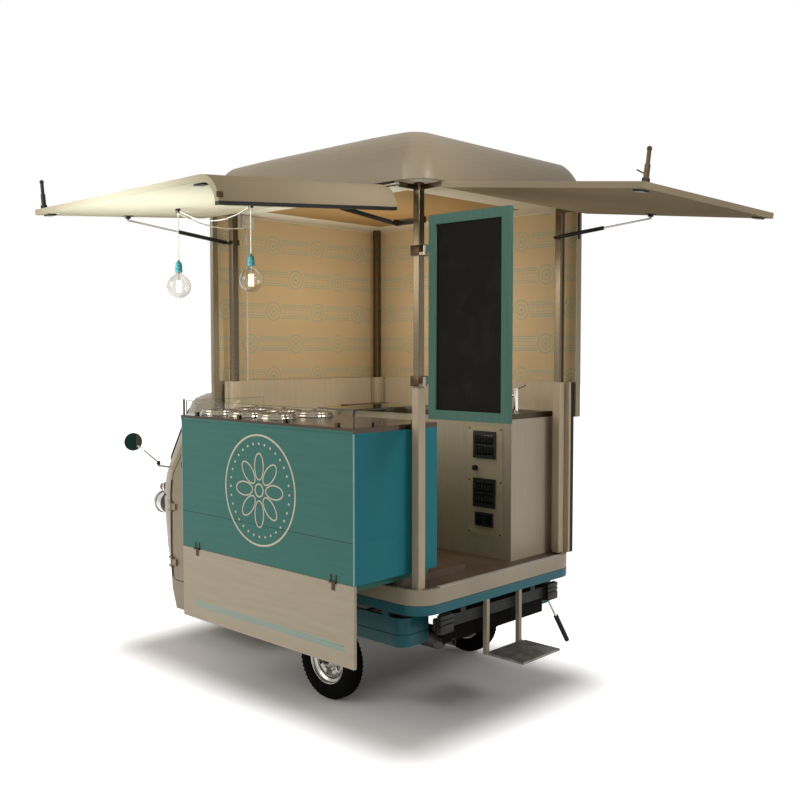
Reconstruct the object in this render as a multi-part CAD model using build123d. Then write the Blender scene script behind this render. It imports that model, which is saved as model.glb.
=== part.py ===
from build123d import *
import math
import os

# Three-wheeler food truck with a pull-out serving counter.
# Frame: X forward, Y to the vehicle's left, Z up, in millimetres.
# The origin is on the ground under the front axle.

# Wheels and axles
WHEELBASE = 1590.0
REAR_TRACK = 1150.0
TYRE_R = 215.0
TYRE_W = 90.0
TYRE_WALL = 11.0
TYRE_FLAT = 2.0
TREAD_HALF = 30.0
SHOULDER = 24.0
RIM_R = 127.0
RIM_W = 72.0
RIM_WALL = 5.0
RIM_DISC = 8.0
RIM_HOLE_R = 14.0
RIM_HOLES = 5
HUB_R = 38.0
HUB_LEN = 64.0
AXLE_R = 15.0
AXLE_NUT_R = 22.0
AXLE_NUT = 12.0
RUN_FIT = 0.1
SEAT_GAP = 0.3

# Cab
CAB_REAR = -630.0
CAB_WALL = 25.0
CAB_SILL_Z = 205.0
CAB_FLOOR_Z = 340.0
CAB_FLOOR = 25.0
CAB_TOP_Z = 1600.0
CAB_HALF = 600.0
CAB_SIDE_END = -75.0
CAB_NOSE = 400.0
GLASS_DEPTH = 8.0
GLASS_T = 5.0
GLASS_FIT = 0.4
DOOR_GAP = 6.0
DOOR_BACK = -530.0
DOOR_FRONT = -95.0
DOOR_SILL = 400.0
DOOR_HEAD = 1480.0
DOOR_HEAD_FRONT = -300.0
DOOR_SHOULDER = 1090.0
WINDOW_SILL = 1130.0
WINDOW_PILLAR = 52.0
WINDOW_MARGIN = 45.0
SCREEN_MARGIN = 130.0
SCREEN_TAPER = 65.0
SCREEN_Z0 = 1150.0
SCREEN_Z1 = 1490.0
BACK_WINDOW_HALF = 330.0
BACK_WINDOW_TAPER = 30.0
BACK_WINDOW_Z0 = 1160.0
BACK_WINDOW_Z1 = 1450.0
WELL_R = 245.0
WELL_WALL = 14.0
WELL_TOP = 482.0
STEER_R = 18.0
HEAD_TUBE_R = 30.0
HEAD_TUBE_TOP = 560.0
BAR_Z = 985.0
BAR_HALF = 260.0
BAR_R = 12.0
BAR_BACK = 60.0
GRIP_LEN = 115.0
GRIP_R = 16.0
FORK_Y = 60.0
FORK_T = 24.0
LAMP_R = 74.0
LAMP_Y = 400.0
LAMP_Z = 846.0
LAMP_FRONT = 336.0
SEAT_Z = 740.0
SEAT_FRONT = -330.0
SEAT_HALF = 480.0
SEAT_PAD = 90.0
SEAT_BOARD = 20.0
SEAT_BACK_TOP = 1130.0
MIRROR_PIN_OUT = (88.0, 20.0, 1126.0)
MIRROR_HEAD_OUT = (70.0, 145.0, 163.0)
MIRROR_TOE = 14.0
MIRROR_R = 58.0
MIRROR_T = 28.0
MIRROR_STALK_R = 6.0
MIRROR_PIN_R = 5.0
MIRROR_HUB_R = 12.0
MIRROR_HUB_H = 24.0

# Deck and pavilion frame
FRONT_POST_GAP = 140.0
POST_PITCH_X = 1480.0
POST_PITCH_Y = 1192.0
POST = 40.0
POST_WALL = 2.5
POST_CORNER = 4.0
DECK_TOP = 705.0
DECK_BOARD = 30.0
DECK_OVER_X = 75.0
DECK_OVER_Y = 74.0
DECK_CORNER = 130.0
RIM_LIP = 10.0
RIM_H = 127.0
RIM_T = 28.0
EAVE_Z = 2690.0
ROOF_OVER = 125.0
ROOF_CORNER = 120.0
ROOF_H = 265.0
ROOF_ROUND_X = 174.0
ROOF_ROUND_Y = 158.0
ROOF_CROWN = 34.0
ROOF_ROWS = 12
ROOF_HOLLOW = ((0, -1), (3, 75), (44, 180), (95, 212))
ROOF_CORNER_MIN = 48.0
ROOF_T = 25.0
CEILING_T = 12.0
SLEEVE = 50.0
SLEEVE_TOP = 1700.0
LOWER_WALL_T = 38.0
PANEL_T = 28.0
PANEL_BOTTOM = 1500.0
PANEL_OUT = 104.0
SIDE_PANEL_OUT = 70.0
SIDE_PANEL_T = 45.0
SIDE_PANEL_END = 70.0
LINER_T = 5.0

# Chassis
RAIL_Y = 300.0
RAIL_W = 60.0
RAIL_H = 100.0
TUBE_WALL = 4.0
CROSS_W = 50.0
CROSS_H = 60.0
FRONT_RAIL_H = 40.0
ARM_REACH = 420.0
ARM_PIVOT_Z = 430.0
ARM_T = 30.0
PIVOT_R = 24.0
DAMPER_R = 20.0
LAMP_BAR_Z = 520.0
LAMP_BAR_H = 60.0
TAIL_LAMP_Y = 455.0
TAIL_LAMP_W = 100.0
TAIL_LAMP_H = 100.0
TAIL_LAMP_T = 30.0
ENGINE_HALF = 150.0
ENGINE_Z0 = 300.0
ENGINE_Z1 = 500.0
MUDGUARD_OUT = 650.0
MUDGUARD_IN = 520.0
MUDGUARD_REAR_IN = 460.0
MUDGUARD_BACK = 130.0
MUDGUARD_T = 18.0
MUDGUARD_Z = 410.0
MUDGUARD_GAP = 32.0
MUDGUARD_HANGER = 40.0
MUDGUARD_CORNER = 60.0
MUDGUARD_REACH = 330.0
ARCH_GAP = 45.0
GROOVE_Z = 472.0
STEP_Z = 300.0
STEP_T = 12.0
STEP_HALF = 162.0
STEP_DEPTH = 225.0
STEP_HANGER = 24.0
STEP_HANGER_Y = 140.0
STEP_PIN_R = 5.0
LEVER_PIVOT_Y = -487.0
LEVER_PIVOT_Z = 465.0
LEVER_LEN = 353.0
LEVER_GRIP_LEN = 206.0
LEVER_ANGLE = 35.0
LEVER_R = 8.0
LEVER_GRIP_R = 13.0

# Awnings
HINGE_Z = 2672.0
HINGE_OUT = 104.0
REAR_HINGE_OUT = 115.0
HINGE_PIN_R = 4.0
HINGE_BEAD_R = 12.0
AWNING_TOP = 13.0
AWNING_T = 28.0
AWNING_INSET = 20.0
LEFT_DEPTH = 1050.0
LEFT_DROOP = 4.65
LEFT_START = 153.0
LEFT_PAST_POST = 120.0
LIP_R = 118.0
LIP_SEAL = 15.0
REAR_DEPTH = 1100.0
REAR_DROOP = 6.8
REAR_LEFT_EDGE = 585.0
REAR_RIGHT_EDGE = -655.0

# Gas struts
STRUT_R = 11.0
STRUT_ROD_R = 5.0
STRUT_FIT = 0.1
STRUT_EYE_R = 9.0
STRUT_NECK = 24.0
STRUT_NECK_R = 6.3
STRUT_BALL_R = 8.0
STRUT_PIN_R = 4.0
STRUT_BAR_T = 10.0
STRUT_PAD_H = 17.0
LEFT_STRUT_Y = 585.0
LEFT_STRUT_Z = 2515.0
LEFT_STRUT_AT = 560.0
LEFT_STRUT_REAR_X = 180.0
LEFT_STRUT_FRONT_X = 53.0
LEFT_STRUT_TUBE = 355.0
LEFT_STRUT_ROD = 355.0
REAR_STRUT_Z = 2523.0
REAR_STRUT_AT = 490.0
REAR_STRUT_IN = 26.0
REAR_STRUT_TUBE = 315.0
REAR_STRUT_ROD = 318.0
STRUT_DROP = 40.0

# Pull-out counter
COUNTER_FRONT = 990.0
COUNTER_DEPTH = 580.0
COUNTER_GAP = 25.0
COUNTER_GAP_FRONT = 15.0
COUNTER_BOTTOM = 785.0
COUNTER_TOP = 1523.0
COUNTER_PLATE = 25.0
COUNTER_PANEL = 20.0
SHEET_SKIN = 4.0
HOLE_COLLAR = 12.0
COUNTER_TRAVEL = 290.0
RUNNER_W = 30.0
RAIL_TOP_Z = 740.0
TUB_R = 98.0
TUB_WALL = 3.0
TUB_DEPTH = 230.0
TUB_PITCH = 255.0
TUB_FIRST = 755.0
TUB_FRONT_IN = 165.0
LID_R = 107.0
LID_H = 14.0
LID_STEP = 7.0
LID_TOP_H = 12.0
KNOB_R = 12.0
KNOB_H = 14.0
GUARD_T = 8.0
SHELF_LEN = 250.0
GUARD_H = 80.0
GUARD_IN = 14.0
CLAMP = 20.0
CLAMP_T = 6.0
CLAMP_FROM = 115.0
FRONT_CLAMPS = 4
CORNER_BAR = 8.0
FLAP_H = 394.0
FLAP_T = 18.0
FLAP_GAP = 2.0
FLAP_PIN_OUT = 6.0
FLAP_PIN_R = 3.0
FLAP_KNUCKLE_R = 5.5
FLAP_HINGE_W = 44.0
FLAP_HINGE_IN = 120.0

# Side cabinet
CABINET_FACE = -236.0
CABINET_GAP = 65.0
CABINET_PANEL = 20.0
WORKTOP_Z = 1530.0
WORKTOP_T = 30.0
BOWL_X = 320.0
BOWL_Y = 260.0
BOWL_DEPTH = 150.0
BOWL_T = 3.0
BOWL_FROM_END = 210.0
TAP_R = 15.0
TAP_H = 120.0
TAP_SPOUT = 140.0
PLATE_FROM = 60.0
PLATE_W = 250.0
PLATE_Z0 = 830.0
PLATE_Z1 = 1450.0
PLATE_T = 4.0
MODULE_W = 160.0
MODULE_T = 9.0
DIAL_R = 15.0
DIAL_T = 18.0

# Chalkboard
BOARD_W = 480.0
BOARD_H = 964.0
BOARD_Z = 1557.0
BOARD_T = 25.0
BOARD_BORDER = 45.0
SLATE_T = 6.0
BOARD_AXIS_BACK = 62.0
BOARD_AXIS_OUT = 21.5
BOARD_START = 32.0
CLAMP_LOW_Z = 1735.0
CLAMP_HIGH_Z = 2364.0
CLAMP_H = 50.0
CLAMP_OUT = 12.0
BOARD_PIN_R = 5.0

# Lighting
JBOX_W = 100.0
JBOX_H = 80.0
JBOX_D = 64.0
JBOX_Y = 470.0
CONDUIT_R = 7.0
CORD_R = 3.0
HOOK_FRONT_X = 1137.0
HOOK_FRONT_AT = 505.0
HOOK_REAR_X = 825.0
HOOK_REAR_AT = 275.0
HOOK_DROP = 30.0
HOOK_PIN_R = 3.0
DROP_FRONT = 386.0
DROP_REAR = 375.0
HOLDER_R = 19.0
HOLDER_H = 58.0
BULB_R = 62.0

# Latches
LATCH_H = 135.0
LATCH_W = 20.0
LATCH_FOOT = 62.0
LATCH_CHEEK = 5.0
LATCH_AT = 30.0
LATCH_PIN_UP = 12.0
LATCH_PIN_R = 3.0

# Places worked out from the sizes above
AXLE_Z = TYRE_R - TYRE_FLAT
AXLE_X = -WHEELBASE
PX_F = CAB_REAR - FRONT_POST_GAP
PX_R = PX_F - POST_PITCH_X
PY = POST_PITCH_Y / 2
HALF_POST = POST / 2
DECK_X0 = PX_R - DECK_OVER_X
DECK_X1 = PX_F + DECK_OVER_X
DECK_Y = PY + DECK_OVER_Y
DECK_MID = (DECK_X0 + DECK_X1) / 2
DECK_LEN = DECK_X1 - DECK_X0
RIM_TOP = DECK_TOP + RIM_LIP
RIM_BOTTOM = RIM_TOP - RIM_H
RAIL_TOP = DECK_TOP - DECK_BOARD
RAIL_BOTTOM = RAIL_TOP - RAIL_H
ROOF_X0 = PX_R - ROOF_OVER
ROOF_X1 = PX_F + ROOF_OVER
ROOF_Y = PY + ROOF_OVER
PANEL_Y = PY + SIDE_PANEL_OUT
PANEL_X = PX_F + PANEL_OUT - 9.0
WALL_IN_Y = PY + SLEEVE / 2 + 1.0
WALL_IN_X = PX_F + SLEEVE / 2 + 1.0
HINGE_Y = PY + HINGE_OUT
REAR_HINGE_X = PX_R - REAR_HINGE_OUT
COUNTER_X0 = PX_R + HALF_POST + COUNTER_GAP
COUNTER_X1 = PX_F - HALF_POST - COUNTER_GAP_FRONT
COUNTER_BACK = COUNTER_FRONT - COUNTER_DEPTH
PLATE_BOTTOM = COUNTER_TOP - COUNTER_PLATE
CABINET_X0 = PX_R + CABINET_GAP
CABINET_X1 = PX_F - HALF_POST - 10.0
CABINET_Z1 = WORKTOP_Z - WORKTOP_T
CAB_FLOOR_TOP = CAB_FLOOR_Z + CAB_FLOOR


def bx(x0, x1, y0, y1, z0, z1):
    return Pos((x0 + x1) / 2, (y0 + y1) / 2, (z0 + z1) / 2) * Box(x1 - x0, y1 - y0, z1 - z0)


def cyl_x(x0, x1, y, z, r):
    return Pos((x0 + x1) / 2, y, z) * Rot(0, 90, 0) * Cylinder(r, x1 - x0)


def cyl_y(x, y0, y1, z, r):
    return Pos(x, (y0 + y1) / 2, z) * Rot(90, 0, 0) * Cylinder(r, y1 - y0)


def cyl_z(x, y, z0, z1, r):
    return Pos(x, y, (z0 + z1) / 2) * Cylinder(r, z1 - z0)


def prism_xz(points, y0, y1, corner=0.0):
    face = make_face(Polyline(*points, close=True))
    if corner > 0:
        face = fillet(face.vertices(), corner)
    return Pos(0, y1, 0) * extrude(Plane.XZ * face, amount=y1 - y0)


def prism_yz(points, x0, x1, corner=0.0):
    face = make_face(Polyline(*points, close=True))
    if corner > 0:
        face = fillet(face.vertices(), corner)
    return Pos(x0, 0, 0) * extrude(Plane.YZ * face, amount=x1 - x0)


def rounded_slab(x0, x1, y0, y1, z0, z1, r):
    sketch = RectangleRounded(x1 - x0, y1 - y0, r)
    return Pos((x0 + x1) / 2, (y0 + y1) / 2, z0) * extrude(sketch, amount=z1 - z0)


def bar_between(a, b, r):
    a = Vector(*a)
    b = Vector(*b)
    way = b - a
    return Plane(origin=a, z_dir=way) * extrude(Circle(r), amount=way.length)


def solids_of(items):
    found = []
    for item in items:
        found.extend(item.solids())
    return found


def save(name, *items):
    found = solids_of(items)
    shape = found[0] if len(found) == 1 else Compound(children=found)
    export_step(shape, os.path.join("parts", name + ".step"))


def both_sides(item):
    return [item, mirror(item, about=Plane.XZ)]


os.makedirs("parts", exist_ok=True)


# Wheels: a hollow tyre seated on a rim whose hub runs on the stub axle
def make_tyre(x, y):
    half = TYRE_W / 2
    seat = RIM_W / 2
    wall = TYRE_WALL
    outer = [
        (RIM_R, -seat),
        (RIM_R + SHOULDER, -half),
        (TYRE_R - SHOULDER, -half),
        (TYRE_R, -TREAD_HALF),
        (TYRE_R, TREAD_HALF),
        (TYRE_R - SHOULDER, half),
        (RIM_R + SHOULDER, half),
        (RIM_R, seat),
    ]
    inner = [
        (RIM_R, -seat + wall),
        (RIM_R + SHOULDER, -half + wall),
        (TYRE_R - SHOULDER, -half + wall),
        (TYRE_R - wall, -TREAD_HALF + wall / 2),
        (TYRE_R - wall, TREAD_HALF - wall / 2),
        (TYRE_R - SHOULDER, half - wall),
        (RIM_R + SHOULDER, half - wall),
        (RIM_R, seat - wall),
    ]
    section = make_face(Polyline(*outer, close=True)) - make_face(Polyline(*inner, close=True))
    ring = revolve(section, axis=Axis.Y)
    ring -= bx(-TYRE_R, TYRE_R, -TYRE_W, TYRE_W, -2 * TYRE_R, -AXLE_Z)
    return Pos(x, y, AXLE_Z) * ring


def make_rim(x, y):
    barrel = cyl_y(0, -RIM_W / 2, RIM_W / 2, 0, RIM_R)
    barrel -= cyl_y(0, -RIM_W, RIM_W, 0, RIM_R - RIM_WALL)
    disc = cyl_y(0, -RIM_DISC / 2, RIM_DISC / 2, 0, RIM_R - RIM_WALL / 2)
    hole_at = (HUB_R + RIM_R - RIM_WALL) / 2
    for i in range(RIM_HOLES):
        turn = 2 * math.pi * i / RIM_HOLES
        hx = hole_at * math.cos(turn)
        hz = hole_at * math.sin(turn)
        disc -= cyl_y(hx, -RIM_DISC, RIM_DISC, hz, RIM_HOLE_R)
    hub = cyl_y(0, -HUB_LEN / 2, HUB_LEN / 2, 0, HUB_R)
    rim = barrel + disc + hub
    rim -= cyl_y(0, -HUB_LEN, HUB_LEN, 0, AXLE_R + RUN_FIT)
    return Pos(x, y, AXLE_Z) * rim


def axle_nut(x, y, side):
    near = y + side * (HUB_LEN / 2 + SEAT_GAP)
    far = near + side * AXLE_NUT
    return cyl_y(x, min(near, far), max(near, far), AXLE_Z, AXLE_NUT_R)


save("front_tyre", make_tyre(0, 0))
save("front_rim", make_rim(0, 0))
save("rear_left_tyre", make_tyre(AXLE_X, REAR_TRACK / 2))
save("rear_left_rim", make_rim(AXLE_X, REAR_TRACK / 2))
save("rear_right_tyre", make_tyre(AXLE_X, -REAR_TRACK / 2))
save("rear_right_rim", make_rim(AXLE_X, -REAR_TRACK / 2))

# Steering: one-sided fork, column and handlebar
crown_z0 = TYRE_R + AXLE_Z + 10.0
crown_z1 = crown_z0 + 18.0
fork = cyl_z(0, 0, crown_z0, BAR_Z, STEER_R)
fork += bx(-25, 25, -25, FORK_Y + FORK_T, crown_z0, crown_z1)
fork += bx(-22, 22, FORK_Y, FORK_Y + FORK_T, AXLE_Z - 30, crown_z1)
fork += cyl_y(0, -HUB_LEN / 2 - AXLE_NUT / 2, FORK_Y + 1, AXLE_Z, AXLE_R)
fork += cyl_y(0, HUB_LEN / 2 + SEAT_GAP, FORK_Y + 1, AXLE_Z, AXLE_NUT_R)
fork += axle_nut(0, 0, -1)
fork += bx(-BAR_BACK - 10, STEER_R + 2, -STEER_R - 4, STEER_R + 4, BAR_Z - 14, BAR_Z + 14)
fork += cyl_y(-BAR_BACK, -BAR_HALF, BAR_HALF, BAR_Z, BAR_R)
fork += cyl_y(-BAR_BACK, BAR_HALF - GRIP_LEN, BAR_HALF, BAR_Z, GRIP_R)
fork += cyl_y(-BAR_BACK, -BAR_HALF, -BAR_HALF + GRIP_LEN, BAR_Z, GRIP_R)
save("steering_fork", fork)

# Cab: height, half width, where the flat side ends, where the nose reaches
CAB_SHAPE = [
    (CAB_SILL_Z, CAB_HALF - 40, CAB_SIDE_END, CAB_NOSE - 280),
    (345.0, CAB_HALF - 10, CAB_SIDE_END, CAB_NOSE - 160),
    (600.0, CAB_HALF, CAB_SIDE_END, CAB_NOSE - 50),
    (830.0, CAB_HALF, CAB_SIDE_END, CAB_NOSE - 5),
    (960.0, CAB_HALF, CAB_SIDE_END, CAB_NOSE),
    (1060.0, CAB_HALF - 8, CAB_SIDE_END, CAB_NOSE - 28),
    (1130.0, CAB_HALF - 16, CAB_SIDE_END - 5, CAB_NOSE - 65),
    (1330.0, CAB_HALF - 47, CAB_SIDE_END - 100, CAB_NOSE - 160),
    (1530.0, CAB_HALF - 78, CAB_SIDE_END - 200, CAB_NOSE - 260),
    (1570.0, CAB_HALF - 100, CAB_SIDE_END - 215, CAB_NOSE - 285),
    (CAB_TOP_Z, CAB_HALF - 160, CAB_SIDE_END - 255, CAB_NOSE - 360),
]


def cab_section(z, half, side_end, nose, inset, back):
    w = half - inset
    line_a = Line((back, -w), (side_end, -w))
    bow = ThreePointArc((side_end, -w), (nose - inset, 0), (side_end, w))
    line_b = Line((side_end, w), (back, w))
    line_c = Line((back, w), (back, -w))
    return Pos(0, 0, z) * make_face([line_a, bow, line_b, line_c])


def cab_form(inset, z_low=None, z_high=None, back=None):
    back = CAB_REAR + inset if back is None else back
    rows = [list(row) for row in CAB_SHAPE]
    if z_low is not None:
        rows = [cab_row(z_low)] + [row for row in rows if row[0] > z_low + 1]
    if z_high is not None:
        rows = [row for row in rows if row[0] < z_high - 1] + [cab_row(z_high)]
    faces = [cab_section(z, half, end, nose, inset, back) for z, half, end, nose in rows]
    return loft(faces, ruled=True)


def cab_row(z):
    for low, high in zip(CAB_SHAPE, CAB_SHAPE[1:]):
        if low[0] <= z <= high[0]:
            t = (z - low[0]) / (high[0] - low[0])
            return [z] + [a + t * (b - a) for a, b in zip(low[1:], high[1:])]
    raise ValueError("height outside the cab")


door_gap = DOOR_GAP
door_points = [
    (DOOR_BACK, DOOR_SILL),
    (DOOR_FRONT, DOOR_SILL),
    (DOOR_FRONT, DOOR_SHOULDER),
    (DOOR_HEAD_FRONT, DOOR_HEAD),
    (DOOR_BACK, DOOR_HEAD),
]
door_inner = [
    (DOOR_BACK + door_gap, DOOR_SILL + door_gap),
    (DOOR_FRONT - door_gap, DOOR_SILL + door_gap),
    (DOOR_FRONT - door_gap, DOOR_SHOULDER - door_gap / 2),
    (DOOR_HEAD_FRONT - door_gap, DOOR_HEAD - door_gap),
    (DOOR_BACK + door_gap, DOOR_HEAD - door_gap),
]
door_lean = (DOOR_HEAD_FRONT - DOOR_FRONT) / (DOOR_HEAD - DOOR_SHOULDER)


def window_front(z):
    return DOOR_FRONT - WINDOW_PILLAR + door_lean * (z - DOOR_SHOULDER)


window_top = DOOR_HEAD - WINDOW_MARGIN
window_points = [
    (DOOR_BACK + WINDOW_MARGIN, WINDOW_SILL),
    (window_front(WINDOW_SILL), WINDOW_SILL),
    (window_front(window_top), window_top),
    (DOOR_BACK + WINDOW_MARGIN, window_top),
]
REACH = CAB_HALF + 60
DOOR_CUT = CAB_HALF - 250


def shrunk(points, by):
    mid_a = sum(p[0] for p in points) / len(points)
    mid_b = sum(p[1] for p in points) / len(points)
    out = []
    for a, b in points:
        far = math.hypot(a - mid_a, b - mid_b)
        k = (far - by) / far
        out.append((mid_a + (a - mid_a) * k, mid_b + (b - mid_b) * k))
    return out


screen_low = CAB_HALF - SCREEN_MARGIN
screen_high = screen_low - SCREEN_TAPER
screen_points = [
    (-screen_low, SCREEN_Z0),
    (screen_low, SCREEN_Z0),
    (screen_high, SCREEN_Z1),
    (-screen_high, SCREEN_Z1),
]
back_window = [
    (-BACK_WINDOW_HALF, BACK_WINDOW_Z0),
    (BACK_WINDOW_HALF, BACK_WINDOW_Z0),
    (BACK_WINDOW_HALF - BACK_WINDOW_TAPER, BACK_WINDOW_Z1),
    (BACK_WINDOW_TAPER - BACK_WINDOW_HALF, BACK_WINDOW_Z1),
]

cab_outer = cab_form(0)
cab_inner = cab_form(CAB_WALL, z_low=CAB_FLOOR_TOP, z_high=CAB_TOP_Z - CAB_WALL)
cab_under = cab_form(CAB_WALL, z_high=CAB_FLOOR_Z, back=CAB_REAR - 60)
cab_skin = cab_outer - cab_inner - cab_under
well = cyl_z(0, 0, CAB_FLOOR_Z, WELL_TOP, WELL_R + WELL_WALL)
head_tube = cyl_z(0, 0, WELL_TOP - WELL_WALL, HEAD_TUBE_TOP, HEAD_TUBE_R)
cab = cab_skin + ((well + head_tube) & cab_outer)
cab -= cyl_z(0, 0, 0, WELL_TOP - WELL_WALL, WELL_R)
cab -= cyl_z(0, 0, 0, HEAD_TUBE_TOP + 10, STEER_R + SEAT_GAP)
for side in (1, -1):
    lo, hi = sorted((side * DOOR_CUT, side * REACH))
    cab -= prism_xz(door_points, lo, hi, corner=35)
screen_cut = prism_yz(screen_points, -250, CAB_NOSE + 50, corner=40)
back_cut = prism_yz(back_window, CAB_REAR - 30, CAB_REAR + 60, corner=40)
cab -= screen_cut
cab -= back_cut

# Door hinges: lugs with a pin on the cab, knuckles on the door
DOOR_PIN_X = DOOR_FRONT - door_gap / 2
DOOR_PIN_Y = CAB_HALF + 9.0
DOOR_PIN_R = 4.0
DOOR_KNUCKLE_R = 8.0
DOOR_HINGE_ZS = (520.0, 880.0)
DOOR_KNUCKLE_H = 40.0
DOOR_LUG_H = 14.0
door_skin = cab_outer - cab_form(CAB_WALL)


def door_hinge_cab(side):
    parts = []
    for z in DOOR_HINGE_ZS:
        for end in (1, -1):
            near = z + end * (DOOR_KNUCKLE_H / 2 + SEAT_GAP)
            far = near + end * DOOR_LUG_H
            z0, z1 = min(near, far), max(near, far)
            y0, y1 = sorted((side * (CAB_HALF - 6), side * DOOR_PIN_Y))
            lug = bx(DOOR_PIN_X, DOOR_FRONT + 30, y0, y1, z0, z1)
            lug += cyl_z(DOOR_PIN_X, side * DOOR_PIN_Y, z0, z1, DOOR_KNUCKLE_R)
            lug -= bx(DOOR_PIN_X - 40, DOOR_FRONT + 1, *sorted((0, side * (CAB_HALF + 0.8))), z0 - 1, z1 + 1)
            parts.append(lug)
        reach = DOOR_KNUCKLE_H / 2 + DOOR_LUG_H
        parts.append(cyl_z(DOOR_PIN_X, side * DOOR_PIN_Y, z - reach, z + reach, DOOR_PIN_R))
    return parts


for side in (1, -1):
    for piece in door_hinge_cab(side):
        cab += piece

# Mirror brackets: an arm out of the windscreen's lower corner with a pin on its end
mirror_pin = (MIRROR_PIN_OUT[0], CAB_HALF - MIRROR_PIN_OUT[1], MIRROR_PIN_OUT[2])
arm_root = (mirror_pin[0] - 83.0, mirror_pin[1] - 45.0, mirror_pin[2] - 8.0)
bracket = bar_between(arm_root, mirror_pin, MIRROR_STALK_R)
bracket += Pos(*mirror_pin) * Sphere(MIRROR_STALK_R)
bracket += cyl_z(mirror_pin[0], mirror_pin[1], mirror_pin[2], mirror_pin[2] + MIRROR_STALK_R + MIRROR_HUB_H,
                 MIRROR_PIN_R)
for piece in both_sides(bracket - cab_inner):
    cab += piece
save("cab_shell", cab)


def make_door(side):
    lo, hi = sorted((side * DOOR_CUT, side * REACH))
    door = door_skin & prism_xz(door_inner, lo, hi, corner=30)
    door -= prism_xz(window_points, lo, hi, corner=30)
    for z in DOOR_HINGE_ZS:
        z0 = z - DOOR_KNUCKLE_H / 2
        z1 = z + DOOR_KNUCKLE_H / 2
        y0, y1 = sorted((side * (CAB_HALF - 6), side * (DOOR_PIN_Y + 2)))
        leaf = bx(DOOR_FRONT - door_gap - 45, DOOR_PIN_X, y0, y1, z0, z1)
        leaf -= bx(DOOR_FRONT - door_gap, DOOR_PIN_X + 20, *sorted((0, side * (CAB_HALF + 0.8))), z0, z1)
        leaf += cyl_z(DOOR_PIN_X, side * DOOR_PIN_Y, z0, z1, DOOR_KNUCKLE_R)
        door += leaf
        door -= cyl_z(DOOR_PIN_X, side * DOOR_PIN_Y, z0 - 20, z1 + 20, DOOR_PIN_R + RUN_FIT)
    return door


pane_skin = cab_form(GLASS_DEPTH) - cab_form(GLASS_DEPTH + GLASS_T)


def make_door_glass(side):
    lo, hi = sorted((side * DOOR_CUT, side * REACH))
    return pane_skin & prism_xz(shrunk(window_points, GLASS_FIT), lo, hi, corner=30)


save("left_door", make_door(1))
save("right_door", make_door(-1))
save("left_door_glass", make_door_glass(1))
save("right_door_glass", make_door_glass(-1))
screen = pane_skin & prism_yz(shrunk(screen_points, GLASS_FIT), DOOR_HEAD_FRONT, CAB_NOSE + 50, corner=40)
rear_pane = pane_skin & prism_yz(shrunk(back_window, GLASS_FIT), CAB_REAR - 30, CAB_REAR + 60, corner=40)
save("cab_glass", screen, rear_pane)

# Headlamps stand out of the nose, tail lamps sit on the lamp bar
head_parts = []
for side in (1, -1):
    body = cyl_x(0, LAMP_FRONT - 30, side * LAMP_Y, LAMP_Z, LAMP_R)
    rim = cyl_x(LAMP_FRONT - 30, LAMP_FRONT - 12, side * LAMP_Y, LAMP_Z, LAMP_R + 5)
    lens = cyl_x(LAMP_FRONT - 12, LAMP_FRONT, side * LAMP_Y, LAMP_Z, LAMP_R - 6)
    lamp = (body + rim + lens) - cab_outer
    keep = [s for s in lamp.solids() if s.center().X > CAB_SIDE_END + 150]
    head_parts.extend(keep)
bar_x0 = DECK_X0 + RIM_T + 7.0
bar_x1 = bar_x0 + 20.0
bar_z0 = LAMP_BAR_Z - LAMP_BAR_H / 2
bar_z1 = LAMP_BAR_Z + LAMP_BAR_H / 2
for side in (1, -1):
    y0 = side * TAIL_LAMP_Y - TAIL_LAMP_W / 2
    z0 = LAMP_BAR_Z - TAIL_LAMP_H / 2
    head_parts.append(bx(bar_x0 - TAIL_LAMP_T, bar_x0, y0, y0 + TAIL_LAMP_W, z0, z0 + TAIL_LAMP_H))
save("road_lamps", *head_parts)

# Driver's bench
bench_x0 = CAB_REAR + CAB_WALL
base_x1 = SEAT_FRONT - SEAT_BOARD
base_y = SEAT_HALF - SEAT_BOARD
board_z = SEAT_Z - SEAT_PAD - SEAT_BOARD
base = [
    bx(bench_x0, base_x1, -base_y, base_y, board_z, SEAT_Z - SEAT_PAD),
    bx(base_x1 - SEAT_BOARD, base_x1, -base_y, base_y, CAB_FLOOR_TOP, board_z),
    bx(bench_x0, base_x1 - SEAT_BOARD, base_y - SEAT_BOARD, base_y, CAB_FLOOR_TOP, board_z),
    bx(bench_x0, base_x1 - SEAT_BOARD, -base_y, -base_y + SEAT_BOARD, CAB_FLOOR_TOP, board_z),
]
pad = bx(bench_x0, SEAT_FRONT, -SEAT_HALF, SEAT_HALF, SEAT_Z - SEAT_PAD, SEAT_Z)
backrest = bx(bench_x0, bench_x0 + 70, -SEAT_HALF, SEAT_HALF, SEAT_Z, SEAT_BACK_TOP)
save("cab_seat", *base, pad, backrest)


# Mirrors on stalks that turn on the brackets' pins
hub_z0 = mirror_pin[2] + MIRROR_STALK_R + SEAT_GAP
hub_z1 = hub_z0 + MIRROR_HUB_H
head = tuple(p + d for p, d in zip(mirror_pin, MIRROR_HEAD_OUT))
left_mirror = cyl_z(mirror_pin[0], mirror_pin[1], hub_z0, hub_z1, MIRROR_HUB_R)
left_mirror += bar_between((mirror_pin[0], mirror_pin[1], hub_z0 + MIRROR_HUB_H / 2), head, MIRROR_STALK_R)
left_mirror -= cyl_z(mirror_pin[0], mirror_pin[1], hub_z0 - 10, hub_z1 + 1, MIRROR_PIN_R + RUN_FIT)
disc = Rot(0, 0, -MIRROR_TOE) * cyl_x(-MIRROR_T / 2, MIRROR_T / 2, 0, 0, MIRROR_R)
left_mirror += Pos(*head) * disc
save("left_mirror", left_mirror)
save("right_mirror", mirror(left_mirror, about=Plane.XZ))

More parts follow.
